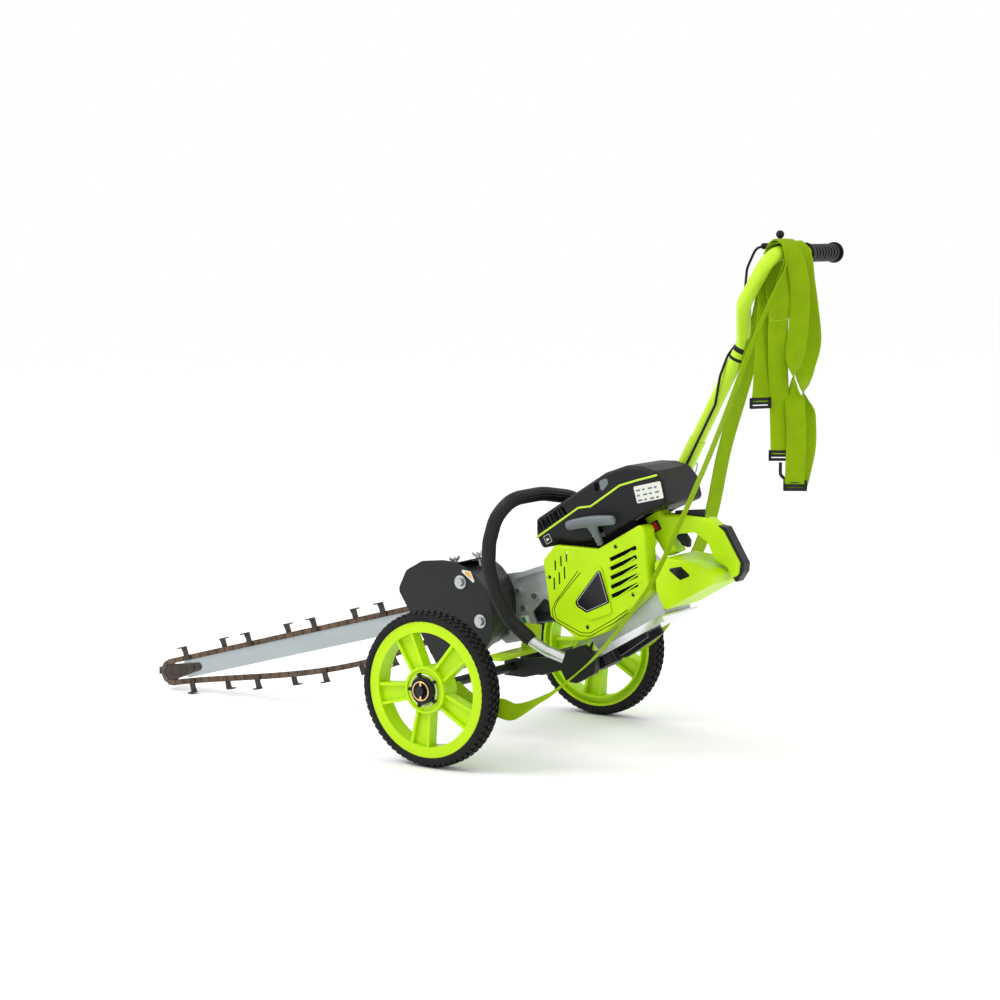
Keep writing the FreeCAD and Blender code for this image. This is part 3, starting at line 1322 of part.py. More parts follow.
def build_all():
    return {
        "axle": axle(),
        "lynch_rings": lynch_rings(),
        "wheel_rim_left": wheel_rim(-1),
        "wheel_rim_right": wheel_rim(1),
        "tyre_left": tyre(-1),
        "tyre_right": tyre(1),
        "hub_cap_left": hub_cap(-1),
        "hub_cap_right": hub_cap(1),
        "cross_strap": cross_strap(),
        "cradle": cradle(),
        "mast_socket": mast_socket(),
        "chain_bar": chain_bar(),
        "bar_nose": group([nose_plates(), nose_rivets()]),
        "nose_sprocket": nose_sprocket(),
        "drive_sprocket": drive_sprocket(),
        "drive_shaft": drive_shaft(),
        "shaft_bearings": shaft_bearings(),
        "chain_links": chain_links(),
        "chain_cutters": chain_cutters(),
        "guard_shell": guard_shell(),
        "guard_back": guard_back(),
        "carrier_bolts": group([guard_bolts(), arm_bolts()]),
        "guard_strip": guard_strip(),
        "wing_nuts": wing_nuts(),
        "arm_plate": arm_plate(),
        "arm_housing": arm_housing(),
        "clutch_drum": clutch_drum(),
        "drive_belt": drive_belt(),
        "engine_block": engine_block(),
        "cylinder": cylinder(),
        "piston": piston(),
        "muffler": muffler(),
        "crankshaft": group([crankshaft(), flywheel()]),
        "starter_cover": starter_cover(),
        "starter_pulley": starter_pulley(),
        "starter_handle": group([starter_handle(), starter_rope()]),
        "filter_cover": filter_cover(),
        "filter_element": filter_element(),
        "fuel_tank": fuel_tank(),
        "fuel_cap": fuel_cap(),
        "rear_handle": rear_handle(),
        "handle_insert": handle_insert(),
        "trigger": trigger(),
        "lockout": lockout(),
        "stop_switch": stop_switch(),
        "base_plate": base_plate(),
        "front_handle_tube": front_handle_tube(),
        "front_handle_grip": front_handle_grip(),
        "rubber_feet": group([ground_buffer(), handle_foot()]),
        "mast_tube": mast_tube(),
        "handle_tube": handle_tube(),
        "mast_pin": mast_pin(),
        "hand_grip": hand_grip(),
        "lever_perch": lever_perch(),
        "throttle_lever": throttle_lever(),
        "throttle_cable": throttle_cable(),
        "strap_left": strap_left(),
        "strap_right": strap_right(),
        "strap_loop": strap_loop(),
        "strap_buckles": strap_buckles(),
    }


# The first piece is cut to the shape of the second where they meet.
GIVES_WAY = (("guard_back", "carrier_bolts"), ("cross_strap", "carrier_bolts"), ("guard_strip", "wing_nuts"),
             ("guard_shell", "wing_nuts"), ("front_handle_grip", "front_handle_tube"),
             ("handle_tube", "lever_perch"))


def fit_together(shapes):
    for name, tool in GIVES_WAY:
        shapes[name] = shapes[name].cut(shapes[tool])
    return shapes


def footprint_shift(shapes):
    """Move that puts the middle of the footprint at the origin."""
    box = group(list(shapes.values())).BoundBox
    return V(-(box.XMin + box.XMax) / 2, -(box.YMin + box.YMax) / 2, 0)


PARTS = fit_together(build_all())
SHIFT = footprint_shift(PARTS)
os.makedirs("parts", exist_ok=True)
for name, shape in PARTS.items():
    placed = shape.copy()
    placed.translate(SHIFT)
    placed.exportStep(os.path.join("parts", name + ".step"))
    print(name, len(placed.Solids), placed.isValid(), round(placed.Volume / 1000, 1), "cm3")
print("nodes", len(PARTS), "shift", SHIFT)
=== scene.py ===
# %% [markdown]
# # A walk-behind trencher, dressed for its studio picture
# The mechanical frame is already designed and packed. This lesson loads it, keeps its size,
# and gives it finishes, webbing, tyres and small mouldings. Places are counted from the axle
# or from the engine's base plate. The straps and the trims are placed at listed points.

# %% Load the imported frame
import math
import bmesh
import bpy
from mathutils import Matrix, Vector


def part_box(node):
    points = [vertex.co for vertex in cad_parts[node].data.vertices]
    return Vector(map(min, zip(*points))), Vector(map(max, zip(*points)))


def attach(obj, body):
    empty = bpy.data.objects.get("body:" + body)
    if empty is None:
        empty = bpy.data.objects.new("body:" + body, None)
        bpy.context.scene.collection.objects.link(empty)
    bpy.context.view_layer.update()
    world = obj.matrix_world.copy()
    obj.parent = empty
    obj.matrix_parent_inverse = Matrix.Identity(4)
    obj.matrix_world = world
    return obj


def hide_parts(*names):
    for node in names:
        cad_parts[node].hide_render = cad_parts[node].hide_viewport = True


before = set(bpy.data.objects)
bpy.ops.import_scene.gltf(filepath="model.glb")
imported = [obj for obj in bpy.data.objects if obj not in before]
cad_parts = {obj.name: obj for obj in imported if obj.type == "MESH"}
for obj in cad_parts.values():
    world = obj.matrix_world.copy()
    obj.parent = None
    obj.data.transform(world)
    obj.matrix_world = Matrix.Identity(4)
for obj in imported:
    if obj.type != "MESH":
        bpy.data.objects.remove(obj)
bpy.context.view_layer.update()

scene = bpy.context.scene

# %% [markdown]
# The designer measured everything from the axle, in millimetres, and tilted the engine by
# thirty degrees. Two short helpers turn those two ways of measuring into metres, so that a
# number in this lesson can be read like a number on a drawing.

# %% Two ways to say where
axle_low, axle_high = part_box("axle")
AXLE_X = (axle_low[0] + axle_high[0]) / 2
ENGINE_TILT = math.radians(30)
ENGINE_FOOT = (209, 196)


def from_axle(x, y, z):
    """Millimetres from the ground under the axle, to metres."""
    return Vector((AXLE_X + x / 1000, y / 1000, z / 1000))


def on_engine(u, y, w):
    """Millimetres along and above the engine's base plate, to metres."""
    x = ENGINE_FOOT[0] + u * math.cos(ENGINE_TILT) - w * math.sin(ENGINE_TILT)
    z = ENGINE_FOOT[1] + u * math.sin(ENGINE_TILT) + w * math.cos(ENGINE_TILT)
    return from_axle(x, y, z)


print("axle at x =", round(AXLE_X, 4))

# %% [markdown]
# A product picture is taken from far away with a long lens, because that keeps the wheels
# from looking stretched. The camera stands about five metres off, a little above the handles.

# %% Camera
LENS_MM = 87.96
CAMERA_PLACE = (2729.5, -4085.2, 1049.4)
CAMERA_TILT = math.radians(83.51)
CAMERA_TURN = math.radians(34.22)
camera_data = bpy.data.cameras.new("studio_camera")
camera_data.lens = LENS_MM
camera_data.sensor_width = 36
camera_data.clip_end = 100
camera = bpy.data.objects.new("studio_camera", camera_data)
camera.location = from_axle(*CAMERA_PLACE)
camera.rotation_euler = (CAMERA_TILT, 0, CAMERA_TURN)
scene.collection.objects.link(camera)
scene.camera = camera
print("camera at", [round(c, 2) for c in camera.location])

# %% [markdown]
# One key lamp and two weaker ones give the soft shadow of a catalogue picture, and the white
# world fills the rest. The plain view transform keeps the lime as vivid as paint.

# %% Floor and lamps
scene.view_settings.view_transform = "Standard"
scene.view_settings.look = "None"
world = bpy.data.worlds.new("studio")
world.use_nodes = True
world.node_tree.nodes["Background"].inputs["Color"].default_value = (1, 1, 1, 1)
world.node_tree.nodes["Background"].inputs["Strength"].default_value = 1.0
scene.world = world


def lamp(name, place, target, size, power):
    """A rectangular lamp that looks at its target; metres and watts."""
    data = bpy.data.lights.new(name, "AREA")
    data.shape = "RECTANGLE"
    data.size, data.size_y = size
    data.energy = power
    thing = bpy.data.objects.new(name, data)
    thing.location = place
    thing.rotation_euler = (Vector(target) - Vector(place)).to_track_quat("-Z", "Y").to_euler()
    scene.collection.objects.link(thing)


lamp("key_lamp", (-1.6, -2.4, 3.4), (0, 0, 0.3), (2.2, 1.5), 70)
lamp("side_lamp", (3.6, 0.6, 2.2), (0.2, 0, 0.5), (1.6, 2.4), 12)
lamp("top_lamp", (0.2, 0.8, 3.6), (0, 0, 0.3), (3.0, 2.0), 14)

# %% [markdown]
# ## Finishes
# Every finish is a small recipe of nodes. One broad cloud of noise varies the colour, a
# second varies the gloss, and a fine one raises a grain. Real mouldings and paint are never
# one flat colour, and these three layers are the cheapest way to say so.

# %% The recipe all finishes share
GLOSS_SPREAD = 0.08
COAT_ROUGHNESS = 0.12
GRAIN_HEIGHT = 0.001


def shade(colour, factor):
    """The colour made lighter or darker, with full opacity."""
    return tuple(min(1, max(0, c * factor)) for c in colour[:3]) + (1,)


def add_node(nodes, kind, values):
    """A new node with these input values."""
    node = nodes.new(kind)
    for socket, value in values.items():
        node.inputs[socket].default_value = value
    return node


def finish(name, colour, rough, metal=0.0, spread=0.08, cloud=18, grain=900, depth=0.12,
           stretch=(1, 1, 1), coat=0.0, specular=0.5):
    """A material whose colour and gloss vary in clouds, with a fine grain on top."""
    material = bpy.data.materials.new(name)
    material.use_nodes = True
    nodes, links = material.node_tree.nodes, material.node_tree.links
    shader = nodes["Principled BSDF"]
    shader.inputs["Metallic"].default_value = metal
    shader.inputs["Coat Weight"].default_value = coat
    shader.inputs["Coat Roughness"].default_value = COAT_ROUGHNESS
    shader.inputs["Specular IOR Level"].default_value = specular
    place = nodes.new("ShaderNodeTexCoord")
    scale = add_node(nodes, "ShaderNodeMapping", {"Scale": stretch})
    links.new(place.outputs["Object"], scale.inputs["Vector"])
    clouds = add_node(nodes, "ShaderNodeTexNoise", {"Scale": cloud, "Detail": 5})
    links.new(scale.outputs["Vector"], clouds.inputs["Vector"])
    tint = nodes.new("ShaderNodeValToRGB")
    for end, position, factor in ((0, 0.32, 1 - spread), (1, 0.68, 1 + spread)):
        tint.color_ramp.elements[end].position = position
        tint.color_ramp.elements[end].color = shade(colour, factor)
    links.new(clouds.outputs["Fac"], tint.inputs["Fac"])
    links.new(tint.outputs["Color"], shader.inputs["Base Color"])
    gloss = add_node(nodes, "ShaderNodeMapRange", {"To Min": max(0.03, rough - GLOSS_SPREAD),
                                                   "To Max": min(1, rough + GLOSS_SPREAD)})
    links.new(clouds.outputs["Fac"], gloss.inputs["Value"])
    links.new(gloss.outputs["Result"], shader.inputs["Roughness"])
    fine = add_node(nodes, "ShaderNodeTexNoise", {"Scale": grain, "Detail": 3})
    links.new(scale.outputs["Vector"], fine.inputs["Vector"])
    bump = add_node(nodes, "ShaderNodeBump", {"Strength": depth, "Distance": GRAIN_HEIGHT})
    links.new(fine.outputs["Fac"], bump.inputs["Height"])
    links.new(bump.outputs["Normal"], shader.inputs["Normal"])
    return material


print("recipe ready")

# %% [markdown]
# The wheels, covers and handle are one lime plastic with a soft sheen. The mast is the same
# lime as powder coat on tube, a little paler and glossier, so its highlights are sharper.

# %% Lime finishes
LIME = (0.44, 0.70, 0.0)
POWDER_LIME = (0.48, 0.74, 0.02)
lime_plastic = finish("lime_plastic", LIME, 0.38, spread=0.05, grain=1400, depth=0.05,
                      specular=0.25)
lime_paint = finish("lime_paint", POWDER_LIME, 0.3, spread=0.04, grain=500, depth=0.04,
                    specular=0.35)
print("lime", LIME)

# %% [markdown]
# Black parts come in five kinds: grained plastic, soft rubber, tyre rubber with dust in it,
# semi-gloss paint and the sheath of the cable. They differ mostly in how they shine, so each
# has its own roughness. A dark grey plastic goes with them.

# %% Black and grey finishes
black_plastic = finish("black_plastic", (0.010, 0.010, 0.012), 0.5, spread=0.15, grain=1600,
                       depth=0.12, specular=0.22)
black_rubber = finish("black_rubber", (0.007, 0.007, 0.007), 0.42, spread=0.2, grain=1200,
                      depth=0.1, specular=0.28)
tyre_rubber = finish("tyre_rubber", (0.007, 0.007, 0.007), 0.6, spread=0.35, cloud=60,
                     grain=800, depth=0.25, specular=0.2)
black_paint = finish("black_paint", (0.009, 0.010, 0.011), 0.4, spread=0.12, grain=420,
                     depth=0.1, specular=0.3)
grey_plastic = finish("grey_plastic", (0.13, 0.15, 0.16), 0.45, spread=0.08, grain=1500,
                      depth=0.1)
cable_black = finish("cable_black", (0.006, 0.006, 0.006), 0.5, spread=0.1, grain=900,
                     depth=0.1, specular=0.2)
print("materials", len(bpy.data.materials))

# %% [markdown]
# Bare metals: the guide bar is ground lengthwise, so its grain is stretched along the bar.
# The chain is oiled and browned by heat treatment. The arm is a sand casting, and the tubes
# and bolts are drawn or plated. The red of the switch and the filter's foam come last.

# %% Metal finishes
bar_steel = finish("bar_steel", (0.36, 0.40, 0.41), 0.34, metal=0.55, spread=0.07, cloud=9,
                   grain=600, depth=0.08, stretch=(0.25, 1, 2))
chain_steel = finish("chain_steel", (0.11, 0.075, 0.052), 0.42, metal=0.75, spread=0.35,
                     cloud=55, grain=700, depth=0.3)
cutter_steel = finish("cutter_steel", (0.055, 0.045, 0.038), 0.45, metal=0.7, spread=0.3,
                      cloud=70, grain=500, depth=0.35)
cast_alloy = finish("cast_alloy", (0.56, 0.59, 0.60), 0.42, metal=0.8, spread=0.1, cloud=25,
                    grain=650, depth=0.3)
bare_tube = finish("bare_tube", (0.68, 0.69, 0.70), 0.24, metal=0.95, spread=0.06, cloud=30,
                   grain=900, depth=0.06)
zinc = finish("zinc", (0.44, 0.45, 0.46), 0.28, metal=0.95, spread=0.12, cloud=90, grain=800,
              depth=0.1)
brass_wire = finish("brass_wire", (0.72, 0.50, 0.20), 0.25, metal=0.95, spread=0.1, cloud=90,
                    depth=0.05)
red_plastic = finish("red_plastic", (0.72, 0.02, 0.012), 0.25, spread=0.05, depth=0.04,
                     coat=0.3)
foam = finish("filter_foam", (0.12, 0.12, 0.11), 0.9, spread=0.25, grain=300, depth=0.8)
print("materials", len(bpy.data.materials))

# %% [markdown]
# Webbing is woven in narrow crosswise ribs with finer yarns along it. The recipe reads the
# strap's own across-and-along coordinates, so the ribs follow every twist. The cloth is thin
# and lets a little light through.

# %% Woven webbing
RIB_PITCH = 0.0022
YARN_PITCH = 0.0016
YARN_SHARE = 0.35
LIGHT_THROUGH = 0.25


def add_wave(nodes, links, coordinate, pitch):
    """A sine wave along one coordinate, one turn to each pitch."""
    phase = nodes.new("ShaderNodeMath")
    phase.operation = "MULTIPLY"
    phase.inputs[1].default_value = 2 * math.pi / pitch
    links.new(coordinate, phase.inputs[0])
    wave = nodes.new("ShaderNodeMath")
    wave.operation = "SINE"
    links.new(phase.outputs["Value"], wave.inputs[0])
    return wave.outputs["Value"]


def webbing_finish(name, colour):
    """A finish with a weave on it, and light that passes through."""
    material = finish(name, colour, 0.7, spread=0.06, cloud=40, depth=0.1, specular=0.15)
    nodes, links = material.node_tree.nodes, material.node_tree.links
    shader = nodes["Principled BSDF"]
    place = next(n for n in nodes if n.type == "TEX_COORD")
    split = nodes.new("ShaderNodeSeparateXYZ")
    links.new(place.outputs["UV"], split.inputs["Vector"])
    ribs = add_wave(nodes, links, split.outputs["Y"], RIB_PITCH)
    yarns = add_wave(nodes, links, split.outputs["X"], YARN_PITCH)
    weave = nodes.new("ShaderNodeMath")
    weave.operation = "MULTIPLY_ADD"
    weave.inputs[1].default_value = YARN_SHARE
    links.new(yarns, weave.inputs[0])
    links.new(ribs, weave.inputs[2])
    bump = add_node(nodes, "ShaderNodeBump", {"Strength": 0.3, "Distance": 0.0006})
    links.new(weave.outputs["Value"], bump.inputs["Height"])
    links.new(bump.outputs["Normal"], shader.inputs["Normal"])
    glow = add_node(nodes, "ShaderNodeBsdfTranslucent", {"Color": shade(colour, 1.1)})
    both = add_node(nodes, "ShaderNodeMixShader", {"Fac": LIGHT_THROUGH})
    links.new(shader.outputs["BSDF"], both.inputs[1])
    links.new(glow.outputs["BSDF"], both.inputs[2])
    links.new(both.outputs["Shader"], nodes["Material Output"].inputs["Surface"])
    return material


webbing = webbing_finish("webbing", (0.30, 0.48, 0.0))
print("webbing woven")

# %% [markdown]
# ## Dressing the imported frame
# The parts whose shape is already right only need their finish and a small rounded edge. A
# bevel modifier adds that edge without touching the mesh, and it catches a thin line of light
# just as a moulded or deburred corner does.

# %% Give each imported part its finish
DRESS = {
    lime_plastic: ["wheel_rim_left", "wheel_rim_right", "starter_cover", "rear_handle",
                   "fuel_tank"],
    lime_paint: ["cross_strap", "mast_socket", "mast_tube", "handle_tube"],
    tyre_rubber: ["tyre_left", "tyre_right"],
    black_plastic: ["hub_cap_left", "hub_cap_right", "filter_cover", "fuel_cap", "trigger",
                    "lockout", "lever_perch", "throttle_lever", "strap_buckles"],
    black_rubber: ["front_handle_grip", "hand_grip", "handle_insert", "rubber_feet",
                   "drive_belt"],
    black_paint: ["axle", "cradle", "guard_shell", "guard_back", "guard_strip", "muffler"],
    bar_steel: ["chain_bar"],
    chain_steel: ["chain_links", "nose_sprocket", "drive_sprocket", "drive_shaft", "shaft_bearings",
                  "crankshaft", "clutch_drum"],
    cutter_steel: ["chain_cutters", "bar_nose"],
    zinc: ["carrier_bolts", "wing_nuts", "mast_pin"],
    brass_wire: ["lynch_rings"],
    cast_alloy: ["arm_plate", "engine_block", "cylinder", "piston"],
    bare_tube: ["front_handle_tube", "base_plate"],
    grey_plastic: ["starter_handle", "starter_pulley", "arm_housing"],
    red_plastic: ["stop_switch"],
    foam: ["filter_element"],
    webbing: ["strap_left", "strap_right", "strap_loop"],
    cable_black: ["throttle_cable"],
}
for material, names in DRESS.items():
    for name in names:
        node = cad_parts[name]
        node.data.materials.clear()
        node.data.materials.append(material)
print("dressed", sum(len(names) for names in DRESS.values()), "of", len(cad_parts))

# %% [markdown]
# Edge rounding differs by trade: a moulding gets 1.6 mm, and a casting, a bent strap or a
# small part 0.8 mm.

# %% Round the edges
EDGES = {0.0016: ["wheel_rim_left", "wheel_rim_right", "rear_handle", "fuel_tank", "starter_cover",
                  "filter_cover", "handle_insert", "rubber_feet"],
         0.0008: ["arm_plate", "guard_strip", "cross_strap", "cradle", "hub_cap_left",
                  "hub_cap_right", "throttle_lever", "lever_perch", "trigger", "lockout",
                  "base_plate", "engine_block", "chain_cutters", "strap_buckles",
                  "stop_switch"]}
for width, names in EDGES.items():
    for name in names:
        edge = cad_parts[name].modifiers.new("edge", "BEVEL")
        edge.width = width
        edge.segments = 2
        edge.limit_method = "ANGLE"
        edge.angle_limit = math.radians(40)
        edge.harden_normals = False
print("edges rounded", sum(len(names) for names in EDGES.values()))

# %% [markdown]
# ## The harness
# Webbing is a flat sheet that turns, so a strap is drawn as a row of stations: where its
# middle is, and which way its width points. A smooth curve through the stations gives the
# fall of the cloth, and turning the width from one station to the next gives the twists.


# %% How a strap is made
WEBBING_WIDTH = 0.038
WEBBING_THICKNESS = 0.0021
CROWN = 0.0009
ACROSS = (-1, -0.97, -0.7, -0.35, 0, 0.35, 0.7, 0.97, 1)


def smooth(a, b, c, d, t):
    """A Catmull-Rom curve between b and c."""
    return 0.5 * (2 * b + (c - a) * t + (2 * a - 5 * b + 4 * c - d) * t * t
                  + (3 * b - a - 3 * c + d) * t ** 3)


def along_stations(stations, steps=10):
    """Rows of (middle, width direction) that pass smoothly through the stations."""
    rows = []
    count = len(stations)
    for i in range(count - 1):
        four = [stations[min(max(k, 0), count - 1)] for k in (i - 1, i, i + 1, i + 2)]
        for s in range(steps):
            t = s / steps
            rows.append((smooth(*[f[0] for f in four], t), smooth(*[f[1] for f in four], t)))
    rows.append(stations[-1][:2])
    return rows


def strap_axes(rows, i):
    """The directions across the strap and out of its face at one row."""
    ahead = rows[min(i + 1, len(rows) - 1)][0] - rows[max(i - 1, 0)][0]
    ahead.normalize()
    wide = rows[i][1]
    wide = (wide - ahead * wide.dot(ahead)).normalized()
    return wide, ahead.cross(wide)


def strap_ring(shape, rows, i):
    """One section of the strap: each vertex with its place across, from -1 to 1."""
    middle = rows[i][0]
    wide, face = strap_axes(rows, i)
    ring = []
    for side, order in ((1, ACROSS), (-1, ACROSS[::-1])):
        for s in order:
            edge = 0.5 if abs(s) == 1 else 1.0
            bow = CROWN * (1 - s * s)
            offset = face * (side * WEBBING_THICKNESS / 2 * edge + bow)
            ring.append((shape.verts.new(middle + wide * (s * WEBBING_WIDTH / 2) + offset), s))
    return ring


def strap_panels(shape, sheet_uv, rings, distances):
    """Join neighbouring rings, with UVs in metres: across, then along."""
    for i in range(len(rings) - 1):
        here, there = rings[i], rings[i + 1]
        for k in range(len(here)):
            nxt = (k + 1) % len(here)
            corners = [(here[k], i), (here[nxt], i), (there[nxt], i + 1), (there[k], i + 1)]
            panel = shape.faces.new([c[0][0] for c in corners])
            panel.smooth = True
            for loop, ((_, s), row) in zip(panel.loops, corners):
                loop[sheet_uv].uv = (s * WEBBING_WIDTH / 2, distances[row])


def strap_mesh(name, stations):
    """A closed ribbon through the stations, and the rows it was drawn from."""
    rows = along_stations([(from_axle(*p), Vector(w).normalized()) for p, w in stations])
    mesh = bpy.data.meshes.new(name)
    shape = bmesh.new()
    sheet_uv = shape.loops.layers.uv.new("UVMap")
    rings, distances, run = [], [], 0.0
    for i in range(len(rows)):
        if i:
            run += (rows[i][0] - rows[i - 1][0]).length
        distances.append(run)
        rings.append(strap_ring(shape, rows, i))
    strap_panels(shape, sheet_uv, rings, distances)
    shape.faces.new([v for v, _ in reversed(rings[0])])
    shape.faces.new([v for v, _ in rings[-1]])
    bmesh.ops.recalc_face_normals(shape, faces=shape.faces)
    shape.to_mesh(mesh)
    shape.free()
    piece = bpy.data.objects.new(name, mesh)
    scene.collection.objects.link(piece)
    mesh.materials.append(webbing)
    piece["run_m"] = round(run, 3)
    return piece, rows


print("strap maker ready")

# %% [markdown]
# The two long straps tie the axle ends to the cross handle. The near one is seen almost edge
# on, so its width points along the line of sight. The far one shows its face. Past the
# handle each one hangs down as a loose tail with a buckle.

# %% Two axle straps
FACING = (0.827, 0.562, 0)
near_stations = [
    ((20, -262, 158), (0, 1, 0)), ((60, -262, 128), (0, 0.9, 0.4)),
    ((100, -262, 115), (0.2, 0.5, 0.85)), ((129, -262, 121), (0.1, 0.45, 0.9)),
    ((159, -255, 116), (0.05, 0.7, 0.7)), ((203, -235, 140), (-0.2, 0.95, 0.3)),
    ((236, -215, 165), (-0.35, 0.93, 0.1)), ((304, -180, 235), (-0.24, 0.97, 0)),
    ((374, -152, 336), (-0.24, 0.97, 0)), ((408, -137, 400), (-0.24, 0.97, 0)),
    ((471, -97, 570), (-0.24, 0.97, 0)), ((505, -60, 690), (-0.24, 0.97, 0)),
    ((530, -22, 800), (-0.24, 0.97, 0)), ((556, 20, 905), (-0.3, 0.95, 0)),
    ((572, 50, 965), (-0.3, 0.95, 0)), ((566, 62, 1004), (0, 1, 0)),
    ((548, 66, 1010), (0.1, 1, 0)), ((531, 66, 996), (0.2, 0.98, 0)),
    ((522, 64, 940), (0.4, 0.9, 0)), ((521, 62, 860), (0.5, 0.86, 0)),
    ((520, 57, 780), (0.5, 0.86, 0)), ((520, 48, 706), (0.5, 0.86, 0))]
far_stations = [
    ((24, 265, 168), (0, 1, 0)), ((62, 262, 142), (0, 1, 0)), ((132, 255, 157), (0, 1, 0.1)),
    ((201, 240, 223), (0.15, 0.98, 0)), ((276, 210, 348), (0.25, 0.95, 0)),
    ((333, 190, 456), (0.3, 0.95, 0)), ((382, 160, 603), (0.3, 0.95, 0)),
    ((447, 120, 746), (0.35, 0.93, 0)), ((488, 92, 850), (0.4, 0.92, 0)),
    ((514, 76, 930), (0.4, 0.92, 0)), ((528, 66, 985), (0.3, 0.95, 0)),
    ((545, 62, 1014), (0.1, 1, 0)), ((566, 62, 1008), (0.1, 1, 0)),
    ((578, 56, 980), (0.3, 0.95, 0)), ((566, 54, 930), (0.6, 0.8, 0)), ((550, 62, 870), FACING),
    ((545, 70, 790), FACING), ((545, 80, 690), FACING), ((545, 86, 604), FACING)]
strap_near, near_rows = strap_mesh("strap_near", near_stations)
strap_far, far_rows = strap_mesh("strap_far", far_stations)
for piece, node in ((strap_near, "strap_left"), (strap_far, "strap_right")):
    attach(piece, "frame")
    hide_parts(node)
    print(piece.name, piece["run_m"], "m")

# %% [markdown]
# The shoulder loop is one strap with both ends sewn back round the handle. Each side hangs,
# turns over once on its way down, and meets the other in a buckle at the bottom.

# %% Shoulder loop
loop_stations = [
    ((549, 62, 872), FACING), ((538, 66, 930), (0.75, 0.66, 0)), ((532, 66, 975), (0.5, 0.86, 0)),
    ((543, 66, 1011), (0.35, 0.93, 0)), ((566, 62, 1014), (0.4, 0.92, 0)),
    ((584, 56, 985), (0.6, 0.8, 0)), ((590, 66, 940), (0.75, 0.66, 0)), ((586, 78, 900), FACING),
    ((582, 82, 850), FACING), ((577, 82, 810), FACING), ((574, 82, 780), (0.3, 0.95, 0)),
    ((573, 82, 755), (-0.5, 0.86, 0)), ((573, 84, 725), (-0.85, 0.4, 0)),
    ((574, 88, 700), (-0.83, -0.56, 0)), ((574, 94, 650), (-0.83, -0.56, 0)),
    ((572, 96, 590), (-0.83, -0.56, 0)), ((570, 97, 552), (-0.83, -0.56, 0)),
    ((564, 110, 536), (-0.83, -0.56, 0)), ((562, 124, 542), (-0.83, -0.56, 0)),
    ((566, 132, 570), (-0.83, -0.56, 0)), ((572, 140, 620), (-0.83, -0.56, 0)),
    ((572, 138, 675), (-0.9, -0.3, 0)), ((570, 134, 712), (-0.7, 0.66, 0)),
    ((570, 132, 740), (0.1, 0.95, 0)), ((570, 134, 770), (0.75, 0.66, 0)),
    ((576, 148, 820), FACING), ((574, 140, 880), FACING), ((572, 126, 940), (0.75, 0.66, 0)),
    ((574, 112, 985), (0.5, 0.86, 0)), ((562, 108, 1010), (0.3, 0.95, 0)),
    ((543, 110, 1010), (0.3, 0.95, 0)), ((530, 116, 980), (0.4, 0.9, 0)),
    ((538, 128, 920), (0.6, 0.8, 0)), ((556, 140, 860), FACING), ((566, 150, 812), FACING)]
strap_shoulder, loop_rows = strap_mesh("strap_shoulder", loop_stations)
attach(strap_shoulder, "frame")
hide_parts("strap_loop")
print("shoulder loop", strap_shoulder["run_m"], "m")

# %% [markdown]
# ## Tyres
# A cart tyre is a round carcass with separate rubber blocks moulded on it. Blocks cast real
# shadows at the edge of the wheel, which a bump map can't do, so each block is modelled. The
# tread has two rows, and each side has a row on its shoulder and a thin one on its wall.
# Neighbouring rows are stepped along the tyre.

# %% Knobbed tyres
BLOCKS = 66
CARCASS_DEPTH = 0.0042
CARCASS_SIDE = ((0.80, 0.0165), (0.93, 0.012), (0.97, 0.007), (0.86, 0.0025), (0.5, 0.0004))
BLOCK_QUADS = ((0, 1, 2, 3), (7, 6, 5, 4), (0, 4, 5, 1), (1, 5, 6, 2), (2, 6, 7, 3), (3, 7, 4, 0))


def on_tyre(centre, radius, angle, y):
    """A spot on the tyre, given by its radius, its turn and its place across."""
    return centre + Vector((radius * math.cos(angle), y, radius * math.sin(angle)))


def add_carcass(shape, centre, half, carcass):
    """The smooth round body of the tyre, open towards the rim."""
    near = [(-half * share, carcass - drop) for share, drop in CARCASS_SIDE]
    far = [(half * share, carcass - drop) for share, drop in reversed(CARCASS_SIDE)]
    profile = near + [(0, carcass)] + far
    turns = BLOCKS * 3
    rings = []
    for i in range(turns):
        angle = 2 * math.pi * i / turns
        rings.append([shape.verts.new(on_tyre(centre, r, angle, y)) for y, r in profile])
    for i in range(turns):
        a, b = rings[i], rings[(i + 1) % turns]
        for k in range(len(profile)):
            nxt = (k + 1) % len(profile)
            shape.faces.new((a[k], a[nxt], b[nxt], b[k])).smooth = True


def add_block(shape, centre, half, angle, skew, span, inner, outer):
    """One block, narrower at its top. An edge is (y, radius at the foot, radius at the top)."""
    middle = (inner[0] + outer[0]) / 2
    corners = []
    for level, shrink in ((1, 1.0), (2, 0.72)):
        for edge, side in ((inner, -1), (inner, 1), (outer, 1), (outer, -1)):
            y = middle + (edge[0] - middle) * (0.5 + shrink / 2)
            turn = angle + side * span * shrink / 2 + skew * (edge[0] - middle) / half
            corners.append(shape.verts.new(on_tyre(centre, edge[level], turn, y)))
    for quad in BLOCK_QUADS:
        shape.faces.new([corners[q] for q in quad])


